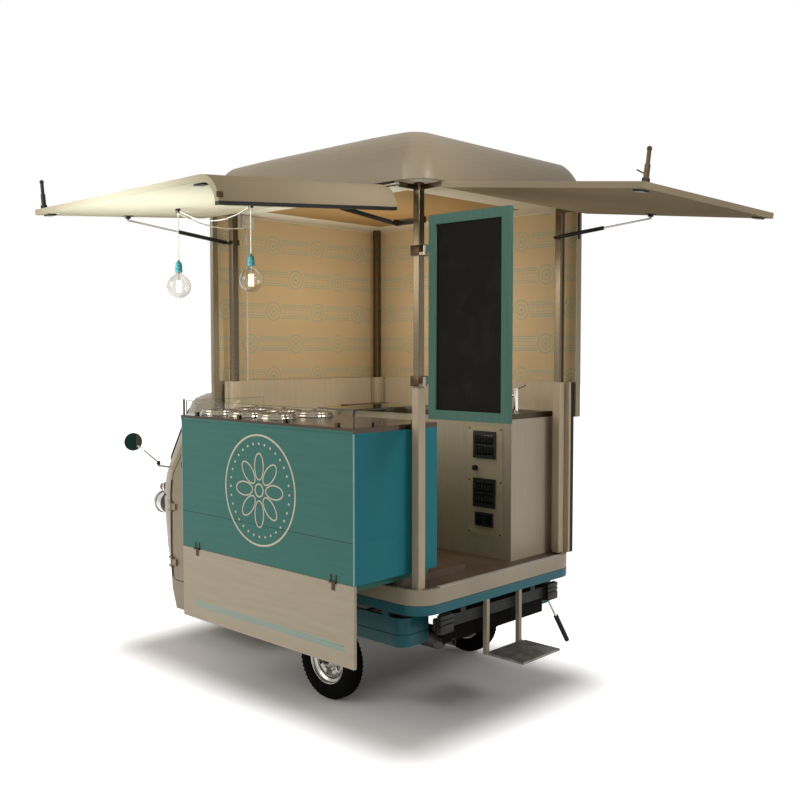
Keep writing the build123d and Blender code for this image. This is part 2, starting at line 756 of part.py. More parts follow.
# Deck: rim ring, floor board, counter rails
ring = rounded_slab(DECK_X0, DECK_X1, -DECK_Y, DECK_Y, RIM_BOTTOM, RIM_TOP, DECK_CORNER)
ring -= rounded_slab(
    DECK_X0 + RIM_T, DECK_X1 - RIM_T, -DECK_Y + RIM_T, DECK_Y - RIM_T,
    RIM_BOTTOM - 1, RIM_TOP + 1, DECK_CORNER - RIM_T)
notch = HALF_POST + SEAT_GAP
for x in (PX_R, PX_F):
    for y in (PY, -PY):
        ring -= bx(x - notch, x + notch, y - notch, y + notch, DECK_TOP, RIM_TOP + 1)
save("deck_rim", ring)
edge = RIM_T + 0.2
board = rounded_slab(
    DECK_X0 + edge, DECK_X1 - edge, -DECK_Y + edge, DECK_Y - edge,
    RAIL_TOP, DECK_TOP, DECK_CORNER - edge)
rail_y1 = DECK_Y - RIM_T - 1.0
rail_y0 = COUNTER_BACK - COUNTER_TRAVEL - 10.0
rail_xs = (COUNTER_X0 + 60.0, COUNTER_X1 - 60.0 - RUNNER_W)
rails = [bx(x, x + RUNNER_W, rail_y0, rail_y1, DECK_TOP, RAIL_TOP_Z) for x in rail_xs]
save("deck_floor", board, *rails)

# Chassis: rails, cross members, trailing arms, lamp bar, step hangers, lever pin
rail_x0 = DECK_X0 + RIM_T + 2.0
rail_x1 = DECK_X1 - RIM_T - 2.0
drop_x0 = rail_x1 - CROSS_W
front_end = -WELL_R - WELL_WALL - 10.0
front_z0 = CAB_FLOOR_Z - FRONT_RAIL_H
chassis = []


def box_tube_x(x0, x1, y0, y1, z0, z1):
    w = TUBE_WALL
    return bx(x0, x1, y0, y1, z0, z1) - bx(x0 - 1, x1 + 1, y0 + w, y1 - w, z0 + w, z1 - w)


def box_tube_y(x0, x1, y0, y1, z0, z1):
    w = TUBE_WALL
    return bx(x0, x1, y0, y1, z0, z1) - bx(x0 + w, x1 - w, y0 - 1, y1 + 1, z0 + w, z1 - w)


for side in (1, -1):
    y0 = side * RAIL_Y - RAIL_W / 2
    y1 = y0 + RAIL_W
    chassis.append(box_tube_x(rail_x0, rail_x1, y0, y1, RAIL_BOTTOM, RAIL_TOP))
    chassis.append(bx(drop_x0, rail_x1, y0, y1, CAB_FLOOR_Z, RAIL_BOTTOM))
    chassis.append(box_tube_x(drop_x0, front_end, y0, y1, front_z0, CAB_FLOOR_Z))
cross_y = DECK_Y - RIM_T - 2.0
corner_y = DECK_Y - DECK_CORNER
damper_x = AXLE_X + 90.0
cross_z0 = RAIL_TOP - CROSS_H
inside = RAIL_Y - RAIL_W / 2
outside = RAIL_Y + RAIL_W / 2
for x, reach in ((PX_R, corner_y), ((PX_R + AXLE_X) / 2, cross_y), (damper_x, cross_y), (PX_F - 60.0, corner_y)):
    half = CROSS_W / 2
    for a, b in ((-reach, -outside), (-inside, inside), (outside, reach)):
        chassis.append(box_tube_y(x - half, x + half, a, b, cross_z0, RAIL_TOP))
pivot_x = AXLE_X + ARM_REACH
arm_y1 = REAR_TRACK / 2 - TYRE_W / 2 - 26.0
arm_y0 = arm_y1 - ARM_T
pivot_tube = cyl_y(pivot_x, -arm_y0, arm_y0, ARM_PIVOT_Z, PIVOT_R)
chassis.append(pivot_tube)
arm_points = [
    (AXLE_X - 38, AXLE_Z - 30),
    (AXLE_X + 40, AXLE_Z - 38),
    (pivot_x + 30, ARM_PIVOT_Z - 30),
    (pivot_x + 30, ARM_PIVOT_Z + 30),
    (pivot_x - 40, ARM_PIVOT_Z + 30),
    (AXLE_X - 25, AXLE_Z + 40),
]
for side in (1, -1):
    lo, hi = sorted((side * arm_y0, side * arm_y1))
    arm = prism_xz(arm_points, lo, hi)
    y_end = side * (REAR_TRACK / 2 + HUB_LEN / 2 + AXLE_NUT / 2)
    lo, hi = sorted((side * arm_y0, y_end))
    arm += cyl_y(AXLE_X, lo, hi, AXLE_Z, AXLE_R)
    lo, hi = sorted((side * arm_y1, side * (REAR_TRACK / 2 - HUB_LEN / 2 - SEAT_GAP)))
    arm += cyl_y(AXLE_X, lo, hi, AXLE_Z, AXLE_NUT_R)
    arm += axle_nut(AXLE_X, side * REAR_TRACK / 2, side)
    arm += cyl_z(damper_x, side * (arm_y0 + arm_y1) / 2, AXLE_Z + 50, cross_z0, DAMPER_R)
    chassis.append(arm)
    lo = side * RAIL_Y - 25
    chassis.append(bx(pivot_x - 30, pivot_x + 30, lo, lo + 50, ARM_PIVOT_Z, RAIL_BOTTOM) - pivot_tube)
lamp_reach = TAIL_LAMP_Y + TAIL_LAMP_W / 2 + 8.0
chassis.append(bx(bar_x0, bar_x1, -lamp_reach, lamp_reach, bar_z0, bar_z1))
for side in (1, -1):
    lo = side * RAIL_Y - 20
    chassis.append(bx(bar_x0, bar_x1, lo, lo + 40, bar_z1, RAIL_BOTTOM))
hang_x0 = DECK_X0
hang_x1 = hang_x0 + STEP_HANGER
step_x = hang_x0 - 9.0
step_axis_z = STEP_Z + STEP_T / 2
hangers = []
for side in (1, -1):
    y0 = side * STEP_HANGER_Y - STEP_HANGER / 2
    y1 = y0 + STEP_HANGER
    hanger = bx(hang_x0, hang_x1, y0, y1, STEP_Z - 6, RIM_BOTTOM)
    hanger += bx(step_x, hang_x0, y0, y1, step_axis_z - 6, step_axis_z + 6)
    hanger += cyl_y(step_x, y0, y1, step_axis_z, 6)
    hangers.append(hanger)
pin_reach = STEP_HANGER_Y + STEP_HANGER / 2
hangers_all = hangers[0] + hangers[1] + cyl_y(step_x, -pin_reach, pin_reach, step_axis_z, STEP_PIN_R)
lever_x = PX_R + 12.0
lever_drop = bx(lever_x - 10, lever_x + 10, LEVER_PIVOT_Y - 12, LEVER_PIVOT_Y + 12,
                LEVER_PIVOT_Z - 14, RAIL_TOP - CROSS_H)
lever_pin = cyl_x(lever_x - 10 - 24, lever_x - 10, LEVER_PIVOT_Y, LEVER_PIVOT_Z, 5)
chassis.append(lever_drop + lever_pin)
save("chassis_frame", *chassis, hangers_all)

# Step plate on its pin
step_y = STEP_HANGER_Y - STEP_HANGER / 2 - 4.0
plate = bx(step_x - 9 - STEP_DEPTH, step_x - 9, -STEP_HALF, STEP_HALF, STEP_Z, STEP_Z + STEP_T)
plate += bx(step_x - 10, step_x, -step_y, step_y, STEP_Z, STEP_Z + STEP_T)
plate += cyl_y(step_x, -step_y, step_y, step_axis_z, 8)
plate -= cyl_y(step_x, -STEP_HALF, STEP_HALF, step_axis_z, STEP_PIN_R + RUN_FIT)
save("step_plate", plate)

# Hand lever with a rubber grip, made hanging straight down, then tilted
lever_at = lever_x - 10 - 12
grip_at = LEVER_LEN - LEVER_GRIP_LEN
lever = cyl_x(-8, 8, 0, 0, 13)
lever += cyl_z(0, 0, -grip_at, 0, LEVER_R)
lever += cyl_z(0, 0, -LEVER_LEN, -grip_at, LEVER_GRIP_R)
lever -= cyl_x(-30, 30, 0, 0, 5 + RUN_FIT)
save("hand_lever", Pos(lever_at, LEVER_PIVOT_Y, LEVER_PIVOT_Z) * Rot(-LEVER_ANGLE, 0, 0) * lever)

# Mudguards: a skirt round each rear wheel, hung from the deck rim
guard_x0 = DECK_X0 + MUDGUARD_BACK
guard_x1 = AXLE_X + MUDGUARD_REACH
guard_y0 = MUDGUARD_REAR_IN - MUDGUARD_CORNER
guard_top = RIM_BOTTOM - MUDGUARD_GAP
skirt = rounded_slab(guard_x0, guard_x1, guard_y0, MUDGUARD_OUT, MUDGUARD_Z, guard_top, MUDGUARD_CORNER)
skirt -= rounded_slab(guard_x0 + MUDGUARD_T, guard_x1 - MUDGUARD_T, guard_y0 + MUDGUARD_T,
                      MUDGUARD_OUT - MUDGUARD_T, MUDGUARD_Z - 1, guard_top + 1, MUDGUARD_CORNER - MUDGUARD_T)
skirt -= bx(guard_x0 - 1, guard_x1 + 1, guard_y0 - 1, MUDGUARD_REAR_IN, MUDGUARD_Z - 1, guard_top + 1)
skirt -= bx(AXLE_X, guard_x1 + 1, guard_y0 - 1, MUDGUARD_IN, MUDGUARD_Z - 1, guard_top + 1)
skirt -= cyl_y(AXLE_X, guard_y0, MUDGUARD_OUT + 20, AXLE_Z, TYRE_R + ARCH_GAP)
groove = rounded_slab(guard_x0 - 5, guard_x1 + 5, guard_y0, MUDGUARD_OUT + 5,
                      GROOVE_Z - 3, GROOVE_Z + 3, MUDGUARD_CORNER)
groove -= rounded_slab(guard_x0 + 4, guard_x1 - 4, guard_y0 + 4, MUDGUARD_OUT - 4,
                       GROOVE_Z - 4, GROOVE_Z + 4, MUDGUARD_CORNER - 4)
skirt -= groove
for x in (guard_x0 + 2 * MUDGUARD_CORNER, AXLE_X, guard_x1 - 2 * MUDGUARD_CORNER):
    half = MUDGUARD_HANGER / 2
    skirt += bx(x - half, x + half, MUDGUARD_OUT - MUDGUARD_T, MUDGUARD_OUT, guard_top - 1, RIM_BOTTOM)
save("rear_mudguards", *both_sides(skirt))

# Engine with gearbox, mounting bar and silencer
eng_x0 = AXLE_X + 110.0
eng_x1 = eng_x0 + 250.0
mount_x = eng_x0 + 90.0
engine = bx(eng_x0 - 80, eng_x1, -ENGINE_HALF, ENGINE_HALF, ENGINE_Z0, ENGINE_Z1)
engine += cyl_y(AXLE_X + 20, -110, 110, AXLE_Z + 90, 95)
engine += bx(AXLE_X, eng_x0, -90, 90, 260, 400)
engine += bx(mount_x - 20, mount_x + 20, -RAIL_Y - 30, RAIL_Y + 30, RAIL_BOTTOM - 40, RAIL_BOTTOM)
engine += bx(mount_x - 40, mount_x + 40, -60, 60, 490, RAIL_BOTTOM - 39)
sil_x0 = DECK_X0 + 150.0
sil_x1 = sil_x0 + 360.0
sil_y = 345.0
sil_z = 395.0
engine += cyl_x(sil_x0, sil_x1, sil_y, sil_z, 58)
engine += cyl_x(DECK_X0 + 60, sil_x0 + 5, sil_y, sil_z, 18) - cyl_x(DECK_X0 + 50, DECK_X0 + 110, sil_y, sil_z, 15)
engine += cyl_x(sil_x1 - 5, eng_x0 - 40, sil_y, sil_z, 17)
engine += cyl_y(eng_x0 - 57, 140, sil_y, sil_z, 17)
save("engine", engine)

# Posts, hinge pins and strut brackets of the pavilion
post_sketch = RectangleRounded(POST, POST, POST_CORNER) - Rectangle(POST - 2 * POST_WALL, POST - 2 * POST_WALL)


def make_post(x, y):
    return Pos(x, y, DECK_TOP) * extrude(post_sketch, amount=EAVE_Z - DECK_TOP)


LUG_T = 8.0
lug_z0 = HINGE_Z - HINGE_BEAD_R
lug_z1 = HINGE_Z + HINGE_BEAD_R
inner_face = PY - HALF_POST
left_lug_r = PX_R + HALF_POST
left_lug_f = PX_F - HALF_POST
strut_rear_x = PX_R + LEFT_STRUT_REAR_X
strut_front_x = PX_F + LEFT_STRUT_FRONT_X
bar_z_half = 15.0


def left_lug(x0):
    lug = bx(x0, x0 + LUG_T, PY - HALF_POST + 8, HINGE_Y, lug_z0, lug_z1)
    return lug + cyl_x(x0, x0 + LUG_T, HINGE_Y, HINGE_Z, HINGE_BEAD_R)


def rear_lug(y0):
    lug = bx(REAR_HINGE_X, PX_R + HALF_POST - 8, y0, y0 + LUG_T, lug_z0, lug_z1)
    return lug + cyl_y(REAR_HINGE_X, y0, y0 + LUG_T, HINGE_Z, HINGE_BEAD_R)


def strut_arm(x_from, x_to):
    lo, hi = sorted((x_from, x_to))
    z0 = LEFT_STRUT_Z - bar_z_half
    z1 = LEFT_STRUT_Z + bar_z_half
    return bx(lo, hi, inner_face - STRUT_BAR_T, inner_face, z0, z1)


eye_half = 7.0
arm_z0 = LEFT_STRUT_Z - bar_z_half
arm_z1 = LEFT_STRUT_Z + bar_z_half
arm_end = strut_rear_x - eye_half - 0.5
arm_r = strut_arm(PX_R - HALF_POST, arm_end)
arm_r += bx(arm_end - LUG_T, arm_end, inner_face - STRUT_BAR_T, LEFT_STRUT_Y + 10, arm_z0, arm_z1)
arm_r += cyl_x(arm_end - 1, strut_rear_x + eye_half + 4, LEFT_STRUT_Y, LEFT_STRUT_Z, STRUT_PIN_R)
arm_end_f = strut_front_x - eye_half - 0.5
arm_f = strut_arm(PX_F - HALF_POST, arm_end_f)
arm_f += bx(arm_end_f - LUG_T, arm_end_f, inner_face - STRUT_BAR_T, LEFT_STRUT_Y + 10, arm_z0, arm_z1)
arm_f += cyl_x(arm_end_f - 1, strut_front_x + eye_half + 4, LEFT_STRUT_Y, LEFT_STRUT_Z, STRUT_PIN_R)
left_rod = cyl_x(left_lug_r + LUG_T, left_lug_f - LUG_T, HINGE_Y, HINGE_Z, HINGE_PIN_R)
rear_rod = cyl_y(REAR_HINGE_X, -inner_face + LUG_T, inner_face - LUG_T, HINGE_Z, HINGE_PIN_R)
rear_strut_y = -(inner_face - REAR_STRUT_IN)
spacer_end = rear_strut_y - eye_half - 0.5
rear_pin = cyl_y(PX_R, -inner_face, spacer_end, REAR_STRUT_Z, 10)
rear_pin += cyl_y(PX_R, spacer_end - 1, rear_strut_y + eye_half + 4, REAR_STRUT_Z, STRUT_PIN_R)
frame_parts = [make_post(x, y) for x in (PX_R, PX_F) for y in (PY, -PY)]
frame_parts += [left_lug(left_lug_r), left_lug(left_lug_f - LUG_T), left_rod, arm_r, arm_f]
frame_parts += [rear_lug(inner_face - LUG_T), rear_lug(-inner_face), rear_rod, rear_pin]

# Chalkboard clamps on the near post
board_x = PX_R - BOARD_AXIS_BACK
board_y = PY + BOARD_AXIS_OUT


def board_clamp(z):
    z0 = z - CLAMP_H / 2
    z1 = z + CLAMP_H / 2
    wrap = HALF_POST + CLAMP_OUT
    block = bx(PX_R - wrap, PX_R + HALF_POST + 6, PY - wrap, PY + wrap, z0, z1)
    block += bx(board_x, PX_R - wrap + 1, board_y - 8, PY + wrap, z0, z0 + 14)
    block += cyl_z(board_x, board_y, z0, z0 + 14, 11)
    block -= bx(PX_R - HALF_POST, PX_R + HALF_POST, PY - HALF_POST, PY + HALF_POST, z0 - 1, z1 + 1)
    return block + cyl_z(board_x, board_y, z0 + 1, z1, BOARD_PIN_R)


save("corner_posts", *frame_parts, board_clamp(CLAMP_LOW_Z), board_clamp(CLAMP_HIGH_Z))

# Chalkboard: frame with knuckles, slate let into it
frame_x1 = board_x - BOARD_START
frame_x0 = frame_x1 - BOARD_W
fy0 = board_y - BOARD_T / 2
fy1 = board_y + BOARD_T / 2
frame = bx(frame_x0, frame_x1, fy0, fy1, BOARD_Z, BOARD_Z + BOARD_H)
slate_box = (frame_x0 + BOARD_BORDER, frame_x1 - BOARD_BORDER)
slate_z = (BOARD_Z + BOARD_BORDER, BOARD_Z + BOARD_H - BOARD_BORDER)
frame -= bx(*slate_box, fy0 - 1, fy1 + 1, *slate_z)
for z in (CLAMP_LOW_Z, CLAMP_HIGH_Z):
    z0 = z - CLAMP_H / 2 + 14 + SEAT_GAP
    z1 = z + CLAMP_H / 2 - 4
    frame += cyl_z(board_x, board_y, z0, z1, 11)
    frame += bx(frame_x1 - 1, board_x, board_y - 6, board_y + 6, z0, z1)
    frame -= cyl_z(board_x, board_y, z0 - 20, z1 + 40, BOARD_PIN_R + RUN_FIT)
slate = bx(*slate_box, board_y - SLATE_T / 2, board_y + SLATE_T / 2, *slate_z)
save("chalkboard", frame, slate)


# Roof, ceiling and linings
def roof_face(inset_x, inset_y, z, corner):
    w = ROOF_X1 - ROOF_X0 - 2 * inset_x
    h = 2 * ROOF_Y - 2 * inset_y
    return Pos((ROOF_X0 + ROOF_X1) / 2, 0, z) * RectangleRounded(w, h, corner)


def roof_row(k):
    # One row up a quarter round, with corners that tighten towards the top
    turn = math.pi / 2 * k / ROOF_ROWS
    share = 1 - math.cos(turn)
    corner = ROOF_CORNER - (ROOF_CORNER - ROOF_CORNER_MIN) * share
    return roof_face(ROOF_ROUND_X * share, ROOF_ROUND_Y * share, EAVE_Z + ROOF_H * math.sin(turn), corner)


def hollow_row(inset, height):
    inset += ROOF_T
    return roof_face(inset, inset, EAVE_Z + height, max(ROOF_CORNER - inset, ROOF_CORNER_MIN))


# The top is crowned along the truck: a large cylinder trims both ends down
crown_r = ((ROOF_X1 - ROOF_X0) / 2) ** 2 / (2 * ROOF_CROWN)
crown = cyl_y((ROOF_X0 + ROOF_X1) / 2, -ROOF_Y - 10, ROOF_Y + 10, EAVE_Z + ROOF_H - crown_r, crown_r)
roof_out = loft([roof_row(k) for k in range(ROOF_ROWS + 1)], ruled=True) & crown
roof_in = loft([hollow_row(i, h) for i, h in ROOF_HOLLOW], ruled=True)
save("roof_shell", roof_out - roof_in)
c_in = ROOF_T + 0.4
ceiling = rounded_slab(ROOF_X0 + c_in + 1, ROOF_X1 - c_in - 1, -ROOF_Y + c_in + 1, ROOF_Y - c_in - 1,
                       EAVE_Z, EAVE_Z + CEILING_T, ROOF_CORNER - ROOF_T)
liner_x1 = PANEL_X
right_liner = bx(PX_R - SIDE_PANEL_END, liner_x1 - LINER_T, -PANEL_Y, -PANEL_Y + LINER_T, SLEEVE_TOP, EAVE_Z)
front_liner = bx(liner_x1 - LINER_T, liner_x1, -PANEL_Y, PY + 44, SLEEVE_TOP, EAVE_Z)
save("wall_and_ceiling_lining", ceiling, right_liner, front_liner)
side_y1 = -PANEL_Y - SIDE_PANEL_T
right_panel = bx(PX_R - SIDE_PANEL_END, liner_x1, side_y1, -PANEL_Y, PANEL_BOTTOM, EAVE_Z)
front_panel = bx(liner_x1, liner_x1 + PANEL_T, side_y1, PY + 79, PANEL_BOTTOM, EAVE_Z)
save("wall_panels", right_panel, front_panel)

# Lower walls and the sleeves on the posts
lower = []
lower.append(bx(DECK_X0 + 20, WALL_IN_X, -WALL_IN_Y - LOWER_WALL_T, -WALL_IN_Y, RIM_TOP, SLEEVE_TOP))
lower.append(bx(WALL_IN_X, WALL_IN_X + LOWER_WALL_T, -WALL_IN_Y - LOWER_WALL_T, WALL_IN_Y, RIM_TOP, SLEEVE_TOP))
bore = POST + 0.4
sleeve = RectangleRounded(SLEEVE, SLEEVE, POST_CORNER + 3) - Rectangle(bore, bore)
for x in (PX_R, PX_F):
    for y in (PY, -PY):
        lower.append(Pos(x, y, RIM_TOP) * extrude(sleeve, amount=SLEEVE_TOP - RIM_TOP))
save("lower_walls", *lower)

# Side cabinet, worktop with bowl and tap
cab_y0 = -WALL_IN_Y
t = CABINET_PANEL
cabinet = [
    bx(CABINET_X0, CABINET_X1, CABINET_FACE - t, CABINET_FACE, DECK_TOP, CABINET_Z1),
    bx(CABINET_X0, CABINET_X0 + t, cab_y0, CABINET_FACE - t, DECK_TOP, CABINET_Z1),
    bx(CABINET_X1 - t, CABINET_X1, cab_y0, CABINET_FACE - t, DECK_TOP, CABINET_Z1),
    bx(CABINET_X0 + t, CABINET_X1 - t, cab_y0, CABINET_FACE - t, DECK_TOP + 60, DECK_TOP + 60 + t),
    bx(CABINET_X0 + t, CABINET_X1 - t, cab_y0, cab_y0 + 12, DECK_TOP + 60 + t, CABINET_Z1),
]
save("side_cabinet", *cabinet)
bowl_x0 = CABINET_X0 + BOWL_FROM_END
bowl_x1 = bowl_x0 + BOWL_X
bowl_mid_y = (cab_y0 + CABINET_FACE) / 2 + 25.0
bowl_y0 = bowl_mid_y - BOWL_Y / 2
bowl_y1 = bowl_mid_y + BOWL_Y / 2
top_y1 = CABINET_FACE + 4.0
worktop = bx(CABINET_X0 - 4, CABINET_X1, cab_y0, top_y1, CABINET_Z1, WORKTOP_Z)
worktop -= bx(CABINET_X0 + t, CABINET_X1 - t, cab_y0 + 12, CABINET_FACE - t, CABINET_Z1 - 1, WORKTOP_Z - SHEET_SKIN)
collar = HOLE_COLLAR
worktop += bx(bowl_x0 - collar, bowl_x1 + collar, bowl_y0 - collar, bowl_y1 + collar, CABINET_Z1, WORKTOP_Z)
worktop -= bx(bowl_x0, bowl_x1, bowl_y0, bowl_y1, CABINET_Z1 - 1, WORKTOP_Z + 1)
b = BOWL_T
bowl = bx(bowl_x0 - b, bowl_x1 + b, bowl_y0 - b, bowl_y1 + b, CABINET_Z1 - BOWL_DEPTH, CABINET_Z1)
bowl -= bx(bowl_x0, bowl_x1, bowl_y0, bowl_y1, CABINET_Z1 - BOWL_DEPTH + b, CABINET_Z1 + 1)
tap_x = CABINET_X0 + 110.0
tap_y = bowl_mid_y - 20.0
tap = cyl_z(tap_x, tap_y, WORKTOP_Z, WORKTOP_Z + TAP_H, TAP_R)
spout_z = WORKTOP_Z + TAP_H - 26.0
tap += cyl_x(tap_x, tap_x + TAP_SPOUT, tap_y, spout_z, 10)
tap += cyl_z(tap_x + TAP_SPOUT - 8, tap_y, spout_z - 28, spout_z, 8)
save("cabinet_top", worktop, bowl, tap)
lever_z = WORKTOP_Z + TAP_H + SEAT_GAP
tap_lever = cyl_z(tap_x, tap_y, lever_z, lever_z + 16, TAP_R - 1)
tap_lever += bar_between((tap_x, tap_y, lever_z + 10), (tap_x - 62, tap_y, lever_z + 34), 5)
save("tap_lever", tap_lever)

# Control panel and its dial on the cabinet's aisle side
px0 = CABINET_X0 + PLATE_FROM
px1 = px0 + PLATE_W
pmid = (px0 + px1) / 2
face_y = CABINET_FACE + PLATE_T
panel = bx(px0, px1, CABINET_FACE, face_y, PLATE_Z0, PLATE_Z1)
MODULES = ((1270.0, 1425.0, MODULE_W), (990.0, 1155.0, MODULE_W), (880.0, 960.0, MODULE_W - 30.0))
for z0, z1, w in MODULES:
    panel += bx(pmid - w / 2, pmid + w / 2, face_y - 1, face_y + MODULE_T, z0, z1)
dial_x = pmid + MODULE_W / 2 - DIAL_R
dial_z = (MODULES[0][0] + MODULES[1][1]) / 2
panel += cyl_y(dial_x, face_y - 1, face_y + 6, dial_z, 4)
save("control_panel", panel)
dial = cyl_y(dial_x, face_y + SEAT_GAP, face_y + SEAT_GAP + DIAL_T, dial_z, DIAL_R)
dial -= cyl_y(dial_x, face_y - 2, face_y + 7, dial_z, 4 + RUN_FIT)
save("control_dial", dial)

# Pull-out counter: five panels, runners, flap hinge lugs
t = COUNTER_PANEL
x0, x1 = COUNTER_X0, COUNTER_X1
y0, y1 = COUNTER_BACK, COUNTER_FRONT
z0, z1 = COUNTER_BOTTOM, PLATE_BOTTOM
front = bx(x0, x1, y1 - t, y1, z0, z1)
pin_y = COUNTER_FRONT + FLAP_PIN_OUT
pin_z = COUNTER_BOTTOM - FLAP_GAP / 2
hinge_xs = (COUNTER_X0 + FLAP_HINGE_IN, COUNTER_X1 - FLAP_HINGE_IN - FLAP_HINGE_W)
LUG = 9.0
for hx in hinge_xs:
    for a, bb in ((hx, hx + LUG), (hx + FLAP_HINGE_W - LUG, hx + FLAP_HINGE_W)):
        front += bx(a, bb, y1 - 1, y1 + 3, z0, z0 + 34)
        front += bx(a, bb, y1, pin_y, pin_z, z0 + 6)
        front += cyl_x(a, bb, pin_y, pin_z, FLAP_KNUCKLE_R)
    front += cyl_x(hx, hx + FLAP_HINGE_W, pin_y, pin_z, FLAP_PIN_R)
counter = [
    front,
    bx(x0, x1, y0, y0 + t, z0, z1),
    bx(x0, x0 + t, y0 + t, y1 - t, z0, z1),
    bx(x1 - t, x1, y0 + t, y1 - t, z0, z1),
    bx(x0 + t, x1 - t, y0 + t, y1 - t, z0, z0 + t),
]
for rx in rail_xs:
    counter.append(bx(rx, rx + RUNNER_W, y0, y1 - 30, RAIL_TOP_Z + SEAT_GAP, z0))
save("counter_body", *counter)

# Flap on the counter's lower edge
flap_top = COUNTER_BOTTOM - FLAP_GAP
flap = bx(x0 + 2, x1 - 2, y1 - FLAP_T, y1, flap_top - FLAP_H, flap_top)
for hx in hinge_xs:
    a = hx + LUG + SEAT_GAP
    bb = hx + FLAP_HINGE_W - LUG - SEAT_GAP
    flap -= bx(hx - 1, hx + FLAP_HINGE_W + 1, y1 - 4, y1 + 1, flap_top - 5, flap_top + 1)
    flap += bx(a, bb, y1 - 1, y1 + 3, flap_top - 38, flap_top - 5)
    flap += bx(a, bb, y1 + 0.5, y1 + 3, flap_top - 6, pin_z)
    flap += cyl_x(a, bb, pin_y, pin_z, FLAP_KNUCKLE_R)
    flap -= cyl_x(hx, hx + FLAP_HINGE_W, pin_y, pin_z, FLAP_PIN_R + RUN_FIT)
save("counter_flap", flap)

# Counter top: plate with holes, tubs below them, guard clamps and corner post
top_plate = bx(x0, x1, y0, y1 + 4, PLATE_BOTTOM, COUNTER_TOP)
top_plate -= bx(x0 + t, x1 - t, y0 + t, y1 - t, PLATE_BOTTOM - 1, COUNTER_TOP - SHEET_SKIN)
tub_spots = []
for row in range(2):
    for col in range(3):
        tx = COUNTER_X0 + TUB_FIRST + col * TUB_PITCH
        ty = COUNTER_FRONT - TUB_FRONT_IN - row * TUB_PITCH
        tub_spots.append((tx, ty))
tubs = []
for tx, ty in tub_spots:
    top_plate += cyl_z(tx, ty, PLATE_BOTTOM, COUNTER_TOP, TUB_R + HOLE_COLLAR)
    top_plate -= cyl_z(tx, ty, PLATE_BOTTOM - 1, COUNTER_TOP + 1, TUB_R)
    tub = cyl_z(tx, ty, COUNTER_TOP - TUB_DEPTH, PLATE_BOTTOM, TUB_R + TUB_WALL)
    tub -= cyl_z(tx, ty, COUNTER_TOP - TUB_DEPTH + TUB_WALL, PLATE_BOTTOM + 1, TUB_R)
    tubs.append(tub)
gx0 = COUNTER_X0 + GUARD_IN
gx1 = COUNTER_X1 - GUARD_IN
gy1 = COUNTER_FRONT - GUARD_IN
gy0 = COUNTER_BACK + GUARD_IN
pane_z0 = COUNTER_TOP + 6.0
pane_z1 = COUNTER_TOP + GUARD_H
end_xs = (gx0, gx1 - GUARD_T)
end_panes = [bx(ex, ex + GUARD_T, gy0, gy1 - GUARD_T - 2, pane_z0, pane_z1) for ex in end_xs]
front_pane = bx(gx0 + GUARD_T + 2, gx1 - GUARD_T - 2, gy1 - GUARD_T, gy1, pane_z0, pane_z1)
shelf = bx(gx0, gx0 + SHELF_LEN, gy0 + 20, gy1, pane_z1, pane_z1 + GUARD_T)
save("glass_guard", *end_panes, front_pane, shelf)
clamps = []
half = CLAMP / 2
clamp_z1 = COUNTER_TOP + CLAMP
for k in (0.25, 0.75):
    cy = gy0 + (gy1 - gy0) * k
    for ex in end_xs:
        clamps.append(bx(ex - CLAMP_T, ex, cy - half, cy + half, COUNTER_TOP, clamp_z1))
        clamps.append(bx(ex + GUARD_T, ex + GUARD_T + CLAMP_T, cy - half, cy + half, COUNTER_TOP, clamp_z1))
for k in range(FRONT_CLAMPS):
    cx = gx0 + CLAMP_FROM + (gx1 - gx0 - 2 * CLAMP_FROM) * k / (FRONT_CLAMPS - 1)
    clamps.append(bx(cx - half, cx + half, gy1, gy1 + CLAMP_T, COUNTER_TOP, clamp_z1))
    clamps.append(bx(cx - half, cx + half, gy1 - GUARD_T - CLAMP_T, gy1 - GUARD_T, COUNTER_TOP, clamp_z1))
bar_top = pane_z1 + GUARD_T
for near, far in ((gx0 - CORNER_BAR, gx0), (gx1, gx1 + CORNER_BAR)):
    clamps.append(bx(near, far, gy1, gy1 + CORNER_BAR, COUNTER_TOP, bar_top))
save("counter_top", top_plate, *tubs, *clamps)
for index, (tx, ty) in enumerate(tub_spots):
    z = COUNTER_TOP + SEAT_GAP
    lid = cyl_z(tx, ty, z, z + LID_H, LID_R)
    lid += cyl_z(tx, ty, z + LID_H, z + LID_H + LID_TOP_H, LID_R - LID_STEP)
    lid -= cyl_z(tx, ty, z - 1, z + LID_H + LID_TOP_H - SHEET_SKIN, LID_R - LID_STEP - SHEET_SKIN)
    knob_z = z + LID_H + LID_TOP_H
    lid += cyl_z(tx, ty, knob_z, knob_z + KNOB_H / 2, KNOB_R / 2)
    lid += cyl_z(tx, ty, knob_z + KNOB_H / 2, knob_z + KNOB_H, KNOB_R)
    save("tub_lid_%d" % (index + 1), lid)

# Left awning: flat panel, curved rear lip, hinge bead; made level, then let droop
left_place = Pos(0, HINGE_Y, HINGE_Z) * Rot(-LEFT_DROOP, 0, 0)
ax0 = PX_R + LEFT_START
ax1 = PX_F + LEFT_PAST_POST
a_low = AWNING_TOP - AWNING_T
panel = bx(ax0, ax1, AWNING_INSET, LEFT_DEPTH, a_low, AWNING_TOP)
lip_z = AWNING_TOP - LIP_R
lip = cyl_y(ax0, AWNING_INSET, LEFT_DEPTH, lip_z, LIP_R) - cyl_y(ax0, 0, LEFT_DEPTH + 10, lip_z, LIP_R - AWNING_T)
lip &= bx(ax0 - LIP_R - 1, ax0, 0, LEFT_DEPTH + 10, lip_z, AWNING_TOP + 1)
bead_x1 = left_lug_f - LUG_T - SEAT_GAP
bead = cyl_x(ax0, bead_x1, 0, 0, HINGE_BEAD_R) + bx(ax0, bead_x1, 0, AWNING_INSET + 1, -8, 8)
